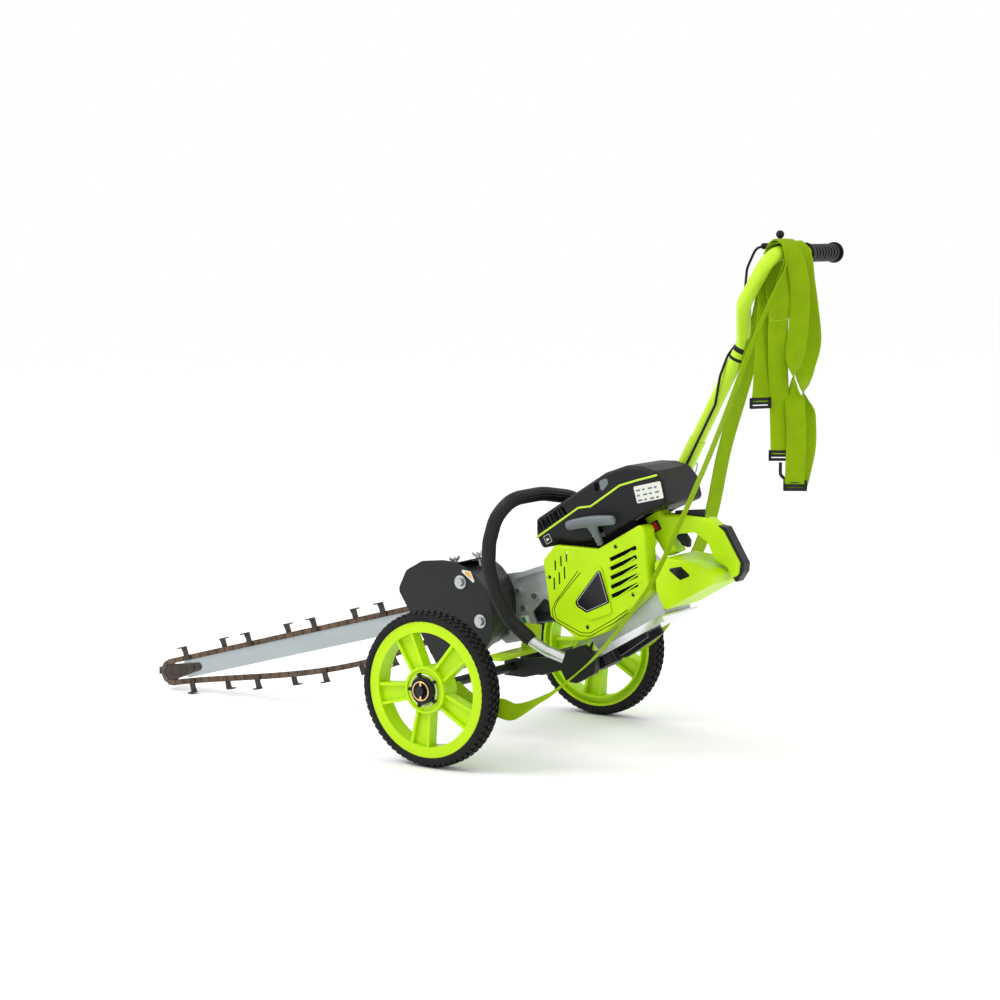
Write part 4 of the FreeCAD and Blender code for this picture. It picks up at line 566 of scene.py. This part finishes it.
def tyre_mesh(name, node):
    """A knobbed tyre in the place and size of a packed one."""
    low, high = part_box(node)
    centre = (Vector(low) + Vector(high)) / 2
    outer = (high[2] - low[2]) / 2
    half = (high[1] - low[1]) / 2
    carcass = outer - CARCASS_DEPTH
    root = carcass - 0.001
    shape = bmesh.new()
    add_carcass(shape, centre, half, carcass)
    step = 2 * math.pi / BLOCKS
    shift = step / 2
    for i in range(BLOCKS):
        angle = step * i
        add_block(shape, centre, half, angle, 0.05, step * 0.66,
                  (-half * 0.44, root, outer), (-half * 0.04, root, outer))
        add_block(shape, centre, half, angle + shift, -0.05, step * 0.66,
                  (half * 0.04, root, outer), (half * 0.44, root, outer))
        for hand in (-1, 1):
            turn = angle + (shift if hand < 0 else 0)
            shoulder = (hand * half * 0.90, carcass - 0.005, outer - 0.0042)
            add_block(shape, centre, half, turn, 0.03 * hand, step * 0.62,
                      (hand * half * 0.52, carcass - 0.002, outer - 0.0006), shoulder)
            add_block(shape, centre, half, turn + shift * 0.9, 0.0, step * 0.5,
                      (hand * half * 0.90, carcass - 0.0045, carcass - 0.0015),
                      (hand * half * 0.99, carcass - 0.0135, carcass - 0.0125))
    bmesh.ops.recalc_face_normals(shape, faces=shape.faces)
    mesh = bpy.data.meshes.new(name)
    shape.to_mesh(mesh)
    shape.free()
    mesh.materials.append(tyre_rubber)
    piece = bpy.data.objects.new(name, mesh)
    scene.collection.objects.link(piece)
    return piece


for side, body in (("left", "wheel_left"), ("right", "wheel_right")):
    knobs = tyre_mesh("knobbed_tyre_" + side, "tyre_" + side)
    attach(knobs, body)
    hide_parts("tyre_" + side)
    print(knobs.name, len(knobs.data.polygons), "faces")

# %% [markdown]
# ## Small mouldings
# The trims that follow are made in two ways. A slab is an outline pushed through a small
# thickness with its edges rounded, as a stamped or moulded plate is. A sweep is a section
# drawn along a path, as an extruded sleeve or a rod is.


# %% Slabs and sweeps
def lean(u, y, w):
    """A direction given along and above the tilted engine."""
    return on_engine(u, y, w) - on_engine(0, 0, 0)


def rounded(points, radius, closed=True, steps=5):
    """Corners replaced by arcs that meet the straight runs smoothly."""
    out = []
    count = len(points)
    for i, corner in enumerate(points):
        if not closed and i in (0, count - 1):
            out.append(corner.copy())
            continue
        back = points[i - 1] - corner
        ahead = points[(i + 1) % count] - corner
        turn = math.pi - back.angle(ahead)
        if turn < 0.02:
            out.append(corner.copy())
            continue
        reach = min(radius * math.tan(turn / 2), 0.45 * back.length, 0.45 * ahead.length)
        bend = reach / math.tan(turn / 2)
        inward = (back.normalized() + ahead.normalized()).normalized()
        middle = corner + inward * (bend / math.cos(turn / 2))
        first = corner + back.normalized() * reach - middle
        last = corner + ahead.normalized() * reach - middle
        for s in range(steps + 1):
            out.append(middle + (first * (1 - s / steps) + last * (s / steps)).normalized() * bend)
    return out


def settle(name, shape, material, body, node=None):
    """Turn a finished shape into a piece that rides on its body."""
    bmesh.ops.recalc_face_normals(shape, faces=shape.faces)
    mesh = bpy.data.meshes.new(name)
    shape.to_mesh(mesh)
    shape.free()
    mesh.materials.append(material)
    piece = bpy.data.objects.new(name, mesh)
    scene.collection.objects.link(piece)
    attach(piece, body)
    if node:
        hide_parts(node)
    return piece


def add_slab(shape, spots, push, edge=0.0006):
    """An outline pushed through a thickness, with its edges rounded."""
    part = bmesh.new()
    face = part.faces.new([part.verts.new(spot) for spot in spots])
    made = bmesh.ops.extrude_face_region(part, geom=[face])
    moved = [item for item in made["geom"] if isinstance(item, bmesh.types.BMVert)]
    bmesh.ops.translate(part, verts=moved, vec=push)
    bmesh.ops.recalc_face_normals(part, faces=part.faces)
    if edge:
        rims = [e for e in part.edges if e.calc_face_angle(0) > 0.6]
        bmesh.ops.bevel(part, geom=rims, offset=edge, segments=2, affect="EDGES", profile=0.5)
    join(shape, part)


def join(shape, part):
    """Copy one bmesh into another."""
    part.verts.index_update()
    new = [shape.verts.new(v.co) for v in part.verts]
    for f in part.faces:
        face = shape.faces.new([new[v.index] for v in f.verts])
        face.smooth = f.smooth
    part.free()


def add_sweep(shape, path, section, first_side=None):
    """Draw the outline that section(i, n) gives for spot i of n along a path, ends closed."""
    side = first_side or Vector((0, 0, 1))
    rings = []
    for i, spot in enumerate(path):
        ahead = (path[min(i + 1, len(path) - 1)] - path[max(i - 1, 0)]).normalized()
        side = (side - ahead * side.dot(ahead)).normalized()
        other = ahead.cross(side)
        rings.append([shape.verts.new(spot + side * a + other * b) for a, b in section(i, len(path))])
    for one, two in zip(rings, rings[1:]):
        for k in range(len(one)):
            nxt = (k + 1) % len(one)
            shape.faces.new((one[k], one[nxt], two[nxt], two[k])).smooth = True
    shape.faces.new(list(reversed(rings[0])))
    shape.faces.new(rings[-1])


def oval(broad, thin, sides=32):
    """The outline of an oval bar, broad along the sweep's side direction."""
    return [(broad * math.cos(2 * math.pi * k / sides), thin * math.sin(2 * math.pi * k / sides))
            for k in range(sides)]


def steady(outline):
    """The same outline all along a sweep."""
    return lambda i, n: outline


def resample(path, gap=0.004):
    """The same path with spots no further apart than about the gap."""
    out = [path[0]]
    for a, b in zip(path, path[1:]):
        runs = max(1, round((b - a).length / gap))
        out += [a.lerp(b, s / runs) for s in range(1, runs + 1)]
    return out


def near_slab(shape, points, y, thick, edge=0.0, radius=0.0):
    """A slab on the engine's near side, its outline given along and above the base plate."""
    spots = [on_engine(u, y, w) for u, w in points]
    add_slab(shape, rounded(spots, radius) if radius else spots, Vector((0, -thick, 0)), edge)


def near_line(shape, points, y, outline, radius, gap=0.003):
    """A thin raised line on the engine's near side."""
    path = resample(rounded([on_engine(u, y, w) for u, w in points], radius, closed=False), gap)
    add_sweep(shape, path, steady(outline), Vector((0, 1, 0)))


print("slabs and sweeps ready")

# %% [markdown]
# More finishes serve the small trims: a glossy black for badges, printed film for the
# stickers, a bright lime for lines and thread, and a dead black that paints the shade in sunk
# places. The stickers carry no words, because a maker's texts belong to the maker: they have
# plain coloured fields, plain dashes and a small wedge.

# %% Trim finishes
gloss_black = finish("gloss_black", (0.006, 0.006, 0.008), 0.2, spread=0.1, depth=0.02,
                     specular=0.3)
sticker_film = finish("sticker_film", (0.66, 0.67, 0.62), 0.4, spread=0.05, cloud=30,
                      depth=0.03)
sticker_amber = finish("sticker_amber", (0.85, 0.36, 0.02), 0.4, spread=0.05, cloud=30,
                       depth=0.03)
sticker_green = finish("sticker_green", (0.02, 0.25, 0.10), 0.4, spread=0.05, cloud=30,
                       depth=0.03)
trim_lime = finish("trim_lime", (0.48, 0.72, 0.006), 0.3, spread=0.03, depth=0.02, coat=0.3)
shadow_black = finish("shadow_black", (0.003, 0.003, 0.003), 0.85, spread=0.1, depth=0.05,
                      specular=0.05)
print("materials", len(bpy.data.materials))

# %% [markdown]
# The front handle's sleeve is extruded rubber with lengthwise ribs that follow every bend of
# the tube. The bare end of the tube stays bright.

# %% Ribbed sleeve of the front handle
sleeve_corners = [from_axle(*spot) for spot in (
    (126, 60, 478), (108, 22, 502), (86, -50, 514), (52, -108, 506), (28, -128, 470), (15, -132, 420),
    (13, -132, 372), (30, -131, 318), (60, -127, 268), (106, -117, 229))]
sleeve_path = resample(rounded(sleeve_corners, 0.080, closed=False, steps=8))


def ribbed(i, n):
    """A round section with fourteen grooves, a little slimmer at both ends."""
    swell = 0.0143 if min(i, n - 1 - i) > 1 else 0.0132
    spots = []
    for k in range(96):
        angle = 2 * math.pi * k / 96
        groove = 0.5 - 0.5 * math.cos(angle * 14)
        radius = swell * (1 - 0.075 * groove ** 3)
        spots.append((radius * math.cos(angle), radius * math.sin(angle)))
    return spots


sleeve = bmesh.new()
add_sweep(sleeve, sleeve_path, ribbed, Vector((1, 0, 0)))
settle("ribbed_sleeve", sleeve, black_rubber, "frame", "front_handle_grip")
print("sleeve rings", len(sleeve_path))

# %% [markdown]
# The starter pull is a T-shaped moulding. Its bar is thickest over the stem and thins to its
# ends, the stem is flat and broad so that it sits between two fingers, and a small ferrule
# takes the knot of the cord.

# %% Starter pull
MOUTH = on_engine(147, -84, 184)
PULL = lean(0.3, -0.5, 0.812).normalized()
BAR = (lean(0.938, 0, -0.347) - PULL * lean(0.938, 0, -0.347).dot(PULL)).normalized()
FLAT = PULL.cross(BAR)
pull = bmesh.new()


def bar_section(i, n):
    """The bar of the T: thickest in its middle, rounded off at its ends."""
    t = abs(2 * i / (n - 1) - 1)
    cap = math.sqrt(max(0.02, 1 - max(0, (t - 0.9) / 0.1) ** 2))
    return oval((0.0114 - 0.0022 * t * t) * cap, (0.0092 - 0.0012 * t) * cap)


bar_path = []
for i in range(41):
    t = 2 * i / 40 - 1
    bar_path.append(MOUTH + PULL * (0.053 - 0.004 * t ** 2) + BAR * (0.0565 * t))
add_sweep(pull, bar_path, bar_section, PULL)


def stem_section(i, n):
    """The stem: broader towards the bar."""
    t = i / (n - 1)
    broad = 0.0074 + 0.0020 * t + 0.0110 * max(0, (t - 0.35) / 0.65) ** 2.0
    return oval(broad, 0.0064 + 0.001 * t)


add_sweep(pull, [MOUTH + PULL * (0.010 + 0.042 * i / 24) for i in range(25)], stem_section, BAR)


FERRULE = ((-0.001, 0.0058), (0.0005, 0.0072), (0.0035, 0.0072), (0.0045, 0.0062),
           (0.0060, 0.0062), (0.0070, 0.0074), (0.0105, 0.0074), (0.0115, 0.0066))
add_sweep(pull, [MOUTH + PULL * along for along, radius in FERRULE],
          lambda i, n: oval(FERRULE[i][1], FERRULE[i][1], 28), BAR)


def cord_section(i, n):
    """A laid cord of six strands, turning as it goes."""
    spots = []
    for k in range(24):
        angle = 2 * math.pi * k / 24
        radius = 0.0019 * (1 + 0.12 * math.cos(6 * angle + i * 0.8))
        spots.append((radius * math.cos(angle), radius * math.sin(angle)))
    return spots


add_sweep(pull, [MOUTH - PULL * (0.042 - 0.0012 * i) for i in range(35)], cord_section, BAR)
settle("starter_pull_grip", pull, grey_plastic, "pull_handle", "starter_handle")
print("starter pull made")

# %% [markdown]
# The starter cover is the face of the machine. Two shallow grooves follow its lower edge as thin
# lines of painted shade, a glossy badge sits in the sunk middle, and dark screws stand in the deep
# holes. Dark sheets behind the cover paint the shade of its hollow inside.

# %% Trims on the starter cover
COVER = -95.0
GROOVE = [(78, 160), (-1, 127), (-17, 115), (-22, 95), (20, 42), (40, 32), (108, 31), (150, 35)]
GROOVE_CENTRE = (110, 120)
# The grooves are thin dark lines of painted shade laid along the cover's face.
grooves = bmesh.new()
for inset in (3, 9.5):
    pulled = []
    for u, w in GROOVE:
        away = math.hypot(u - GROOVE_CENTRE[0], w - GROOVE_CENTRE[1])
        share = inset / away
        pulled.append((u + (GROOVE_CENTRE[0] - u) * share, w + (GROOVE_CENTRE[1] - w) * share))
    near_line(grooves, pulled, COVER + 0.1, oval(0.00055, 0.0008, 10), 0.010)
settle("groove_painted_shade", grooves, shadow_black, "frame")

badge = bmesh.new()
BADGE = [(131, 141), (47, 107), (46, 97), (60, 77), (118, 72)]
near_slab(badge, BADGE, COVER - 3.6, 0.0012, 0.0005, 0.005)
settle("badge_plate", badge, gloss_black, "frame")
badge_line = bmesh.new()
inner = [(u + (88 - u) * 0.12, w + (98 - w) * 0.12) for u, w in BADGE]
near_line(badge_line, inner + inner[:1], COVER - 4.8, oval(0.0003, 0.0005, 8), 0.003)
settle("badge_line", badge_line, bare_tube, "frame")

# Two dark sheets inside the cover are painted shade: they keep the hollow behind the grille and the gap
# above it dark.
shade_sheet = bmesh.new()
SHADE_SHEET = [(10, 190), (52, 206), (100, 178), (135, 166), (232, 166), (226, 122), (196, 62),
          (76, 36), (20, 42), (-12, 106)]
near_slab(shade_sheet, SHADE_SHEET, COVER + 4.2, 0.0006, 0, 0.004)
GAP_SHADE_SHEET = [(30, 214), (60, 233), (110, 206), (150, 192), (240, 192), (240, 170), (142, 170),
          (108, 184), (56, 212), (24, 200)]
near_slab(shade_sheet, GAP_SHADE_SHEET, COVER + 13, 0.001, 0, 0.004)
settle("painted_shade_sheet", shade_sheet, shadow_black, "frame")


def around(u, w, radius, sides):
    """An even outline round a place on the engine, in millimetres."""
    turns = [2 * math.pi * k / sides for k in range(sides)]
    return [(u + radius * math.cos(turn), w + radius * math.sin(turn)) for turn in turns]


screws = bmesh.new()
for u, w in ((180, 162), (169, 63), (44, 52), (15, 175)):
    near_slab(screws, around(u, w, 3.6, 24), COVER + 1.6, 0.0012, 0.0004)
    near_slab(screws, around(u, w, 1.7, 6), COVER + 0.35, 0.0004)
settle("cover_screws", screws, black_paint, "frame")

louvres = bmesh.new()
for k in range(5):
    t = k / 4
    u0, w0 = 146 - 17 * t, 141 - 60 * t
    u1, w1 = 213 - 12 * t, 146 - 60 * t
    rim = [(u0, w0 - 6), (u1, w1 - 6), (u1 + 1, w1 - 8.5), (u0 - 1, w0 - 8.5)]
    near_slab(louvres, rim, COVER + 0.2, 0.0016, 0.0006, 0.001)
settle("grille_louvres", louvres, lime_plastic, "frame")
print("cover trimmed")

# %% [markdown]
# The filter cover carries one lime line that steps up at its middle, a block of cooling
# slots, a small tile with a wedge, a sticker with dashes and a sunk eye with a grey clip.
# The slots and the eye are dark patches of painted shade.

# %% Trims on the filter cover
FACE = -90.0
line = bmesh.new()
LINE = [(22, 258), (140, 266), (166, 256), (245, 262), (282, 254), (330, 242)]
near_line(line, LINE, FACE + 0.1, oval(0.0009, 0.0021, 12), 0.012, 0.004)
settle("cover_line", line, trim_lime, "frame")

# The cooling slots are dark patches of painted shade laid on the cover's face.
slots = bmesh.new()
for k in range(10):
    u = 34 + k * 7.6
    low, high = 264 + k * 0.5, 276 + k * 1.2
    ring = [(u, low), (u + 3.4, low + 0.3), (u + 3.4, high + 0.3), (u, high)]
    near_slab(slots, ring, FACE + 0.3, 0.0006, 0, 0.0012)
settle("slot_painted_shade", slots, shadow_black, "frame")

tile = bmesh.new()
TILE = [(38, 236), (52, 236), (52, 252), (38, 252)]
near_line(tile, TILE + TILE[:1], FACE - 0.1, oval(0.0003, 0.0005, 8), 0.001)
near_slab(tile, [(42, 240), (49, 243), (42, 247)], FACE, 0.0004, 0, 0.0008)
settle("cover_tile", tile, sticker_film, "frame")

label = bmesh.new()
near_slab(label, [(272, 246), (331, 229), (322, 197), (264, 214)], FACE, 0.0004, 0, 0.003)
settle("cover_sticker", label, sticker_film, "frame")
SLOPE = 0.29
DASH_HEIGHT = 3.2
marks = bmesh.new()
for row in range(3):
    for column in range(4):
        u = 274 + column * 13 - row * 2.4
        w = 238 - column * 3.9 - row * 9.5
        size = 6 if (row + column) % 2 else 9
        fall = size * SLOPE
        mark = [(u, w), (u + size, w - fall), (u + size - 1, w - fall - DASH_HEIGHT),
                (u - 1, w - DASH_HEIGHT)]
        near_slab(marks, mark, FACE - 0.4, 0.00015, 0, 0.0006)
settle("sticker_marks", marks, grey_plastic, "frame")

# The sunk eye is a dark patch of painted shade on the face.
eye = bmesh.new()
near_slab(eye, [(196, 272), (206, 288), (196, 292), (190, 280)], FACE + 0.2, 0.0009, 0.0003, 0.004)
settle("eye_painted_shade", eye, shadow_black, "frame")
clip = bmesh.new()
near_slab(clip, [(202, 268), (224, 276), (228, 288), (208, 290)], FACE + 0.2, 0.0011, 0.0004, 0.004)
settle("cover_clip", clip, grey_plastic, "frame")
print("filter cover trimmed")

# %% [markdown]
# The tank and the switch have their own little plates: a dark plain field on the tank and a
# black bezel of four bars round the red rocker.

# %% Tank field and switch bezel
field = bmesh.new()
near_slab(field, [(259, 76), (288, 67), (299, 42), (274, 45)], -85.0, 0.0004, 0, 0.003)
settle("tank_sticker", field, gloss_black, "frame")
bezel = bmesh.new()
for u0, u1, w0, w1 in ((238, 258, 156, 159), (238, 258, 173, 176), (236, 240, 156, 176),
                       (256, 260, 156, 176)):
    near_slab(bezel, [(u0, w0), (u1, w0), (u1, w1), (u0, w1)], -40.0, 0.0025, 0.0006, 0.0008)
settle("switch_bezel", bezel, black_plastic, "frame")
print("tank and switch trimmed")

# %% [markdown]
# Stickers on the guard and the arm are plain film with a plain coloured field. Their corners
# are rounded, because a square corner lifts and collects dirt.

# %% Stickers on the guard and the arm
GUARD_NEAR = -70.3
ARM_FACE = 42.8
FILM = 0.4


def add_film(name, points, y, radius, thick, material):
    """A flat sticker on the frame, given by its outline seen from the near side."""
    shape = bmesh.new()
    spots = [from_axle(x, y, z) for x, z in points]
    add_slab(shape, rounded(spots, radius), Vector((0, -thick, 0)), 0)
    settle(name, shape, material, "frame")


add_film("guard_sticker", [(-103, 350), (-73, 347), (-58, 318)], GUARD_NEAR, 0.003, 0.0004,
         sticker_film)
add_film("guard_sticker_field", [(-92, 347), (-76, 345), (-67, 328)], GUARD_NEAR - FILM, 0.002,
         0.0002, sticker_amber)
add_film("arm_sticker", [(-26, 244), (-8, 248), (5, 213), (-13, 212)], ARM_FACE, 0.002, 0.0004,
         sticker_film)
add_film("arm_sticker_field", [(-25, 242), (-16, 244), (-5, 214), (-12, 214)], ARM_FACE - FILM,
         0.001, 0.0002, sticker_green)
print("stickers laid")

# %% [markdown]
# The strip under the wing nuts is one short plate with rounded corners and its front edge
# turned up, so that it can be lifted off with gloves on.

# %% Strip on the guard
STRIP_TILT = math.radians(14.5)
STRIP_START = (-196, 337)
STRIP_LENGTH = 124
STRIP_NEAR, STRIP_FAR = -66.6, 20


def on_strip(along, above, y):
    """Millimetres along and above the strip's underside, to metres."""
    x = STRIP_START[0] + along * math.cos(STRIP_TILT) - above * math.sin(STRIP_TILT)
    z = STRIP_START[1] + along * math.sin(STRIP_TILT) + above * math.cos(STRIP_TILT)
    return from_axle(x, y, z)


strip = bmesh.new()
up = on_strip(0, 1, 0) - on_strip(0, 0, 0)
plate = [on_strip(0, 0, STRIP_NEAR), on_strip(STRIP_LENGTH, 0, STRIP_NEAR),
         on_strip(STRIP_LENGTH, 0, STRIP_FAR), on_strip(0, 0, STRIP_FAR)]
add_slab(strip, rounded(plate, 0.006), up * 3, 0.0007)
lip = [on_strip(0, 2, -50), on_strip(0, 2, 8), on_strip(0, 14, 8), on_strip(0, 14, -50)]
add_slab(strip, rounded(lip, 0.004), on_strip(3, 0, 0) - on_strip(0, 0, 0), 0.0007)
settle("guard_top_strip", strip, black_paint, "frame", "guard_strip")
print("strip laid")

# %% [markdown]
# Each wheel has a bright ring pressed round its cap, and the mast carries two black bands
# where the handle tube slides into it.

# %% Hub rings and mast bands
HUB_RING_RADIUS = 0.0305
for side, body, hand in (("left", "wheel_left", -1), ("right", "wheel_right", 1)):
    low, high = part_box("wheel_rim_" + side)
    middle = (Vector(low) + Vector(high)) / 2
    face = (low[1] if hand < 0 else high[1]) + hand * 0.0006
    circle = []
    for k in range(97):
        angle = k * math.pi / 48
        circle.append(Vector((middle.x + HUB_RING_RADIUS * math.cos(angle), face,
                              middle.z + HUB_RING_RADIUS * math.sin(angle))))
    ring = bmesh.new()
    add_sweep(ring, circle, steady(oval(0.0022, 0.0014, 12)), Vector((0, 1, 0)))
    settle("hub_ring_" + side, ring, bare_tube, body)

MAST_ANGLE = math.radians(62.4)
MAST_FOOT = from_axle(135, 100, 204)
MAST_AXIS = Vector((math.cos(MAST_ANGLE), 0, math.sin(MAST_ANGLE)))


def band_section(i, n):
    """A round band with its two end edges turned in."""
    radius = 0.0149 if i in (0, n - 1) else 0.0156
    return oval(radius, radius, 28)


bands = bmesh.new()
for start, length in ((0.672, 0.010), (0.654, 0.006)):
    band_path = [MAST_FOOT + MAST_AXIS * (start + length * k / 6) for k in range(7)]
    add_sweep(bands, band_path, band_section)
settle("mast_bands", bands, black_plastic, "frame")
print("rings and bands fitted")

# %% [markdown]
# The harness hardware is moulded nylon: a three-bar slider on each tail and one where the
# shoulder loop closes, with a hook below the far tail's. Box stitching holds the sewn ends,
# and shows as a raised square.

# %% Sliders and stitching
SLIDER_WIDTH = 0.046
SLIDER_HEIGHT = 0.021
SLIDER_THICKNESS = 0.0055
SLIDER_SIDE = 0.005
STITCH_LENGTH = 0.034
STITCH_WIDTH = 0.032
STITCH_LIFT = 0.0024


def slider(shape, middle, wide, drop):
    """Three crossbars and two sides, hung upright below a spot on a strap."""
    wide = Vector(wide).normalized()
    down = Vector((0, 0, -1))
    face = wide.cross(down).normalized()
    half = SLIDER_WIDTH / 2
    bars = [(-half, half, start, end, 0.002)
            for start, end in ((0, 0.0058), (0.0080, 0.0132), (0.0155, SLIDER_HEIGHT))]
    sides = [(hand * (half - SLIDER_SIDE), hand * half, 0, SLIDER_HEIGHT, 0.0018)
             for hand in (-1, 1)]
    for left, right, start, end, radius in bars + sides:
        top, bottom = middle + down * (drop + start), middle + down * (drop + end)
        corners = [top + wide * left, top + wide * right, bottom + wide * right, bottom + wide * left]
        back = [c - face * SLIDER_THICKNESS / 2 for c in rounded(corners, radius)]
        add_slab(shape, back, face * SLIDER_THICKNESS, 0.0009)


def row_at(rows, distance):
    """The first row that is at least this far along the strap."""
    run = 0.0
    for i in range(1, len(rows)):
        run += (rows[i][0] - rows[i - 1][0]).length
        if run >= distance:
            return i
    return len(rows) - 1


def stitch_box(shape, rows, distance):
    """Thread lying on both faces of a strap as a square with its diagonals."""
    i = row_at(rows, distance)
    middle = rows[i][0]
    wide, face = strap_axes(rows, i)
    ahead = wide.cross(face)
    for hand in (-1, 1):
        lift = face * (hand * STITCH_LIFT)
        corners = [middle + lift + wide * (a * STITCH_WIDTH / 2) + ahead * (b * STITCH_LENGTH / 2)
                   for a, b in ((-1, -1), (1, -1), (1, 1), (-1, 1), (-1, -1), (1, 1), (1, -1), (-1, 1))]
        add_sweep(shape, resample(corners, 0.003), steady(oval(0.0004, 0.0004, 6)), face)


hardware = bmesh.new()
slider(hardware, from_axle(520, 48, 706), (0.5, 0.86, 0), -0.010)
slider(hardware, from_axle(545, 86, 604), FACING, -0.010)
slider(hardware, from_axle(570, 100, 556), (-0.83, -0.56, 0), 0.0)
HOOK = ((545, 86, 590), (545, 86, 566), (558, 95, 552), (566, 100, 564), (560, 96, 580))
hook = rounded([from_axle(*spot) for spot in HOOK], 0.010, closed=False)
add_sweep(hardware, resample(hook, 0.002), steady(oval(0.0032, 0.0032, 14)), Vector((1, 0, 0)))
settle("strap_sliders", hardware, black_plastic, "frame", "strap_buckles")

thread = bmesh.new()
stitch_box(thread, loop_rows, 0.006)
stitch_box(thread, near_rows, 0.05)
stitch_box(thread, far_rows, 0.05)
settle("strap_stitching", thread, trim_lime, "frame")
print("hardware hung and sewn")

# %% [markdown]
# The paper under the machine is one wide pale sheet.

# %% Floor
paper_mesh = bpy.data.meshes.new("studio_paper")
paper_shape = bmesh.new()
bmesh.ops.create_grid(paper_shape, x_segments=2, y_segments=2, size=30)
paper_shape.to_mesh(paper_mesh)
paper_shape.free()
paper = bpy.data.objects.new("studio_paper", paper_mesh)
paper.location.z = -0.0005
scene.collection.objects.link(paper)
paper_mesh.materials.append(finish("studio_paper", (1.0, 1.0, 1.0), 0.95, spread=0.004, cloud=2,
                                  depth=0.01, specular=0.0))
print("paper laid")

# %% [markdown]
# ## Finish
# The view layer is brought up to date once more.

# %% Bring the scene up to date
bpy.context.view_layer.update()
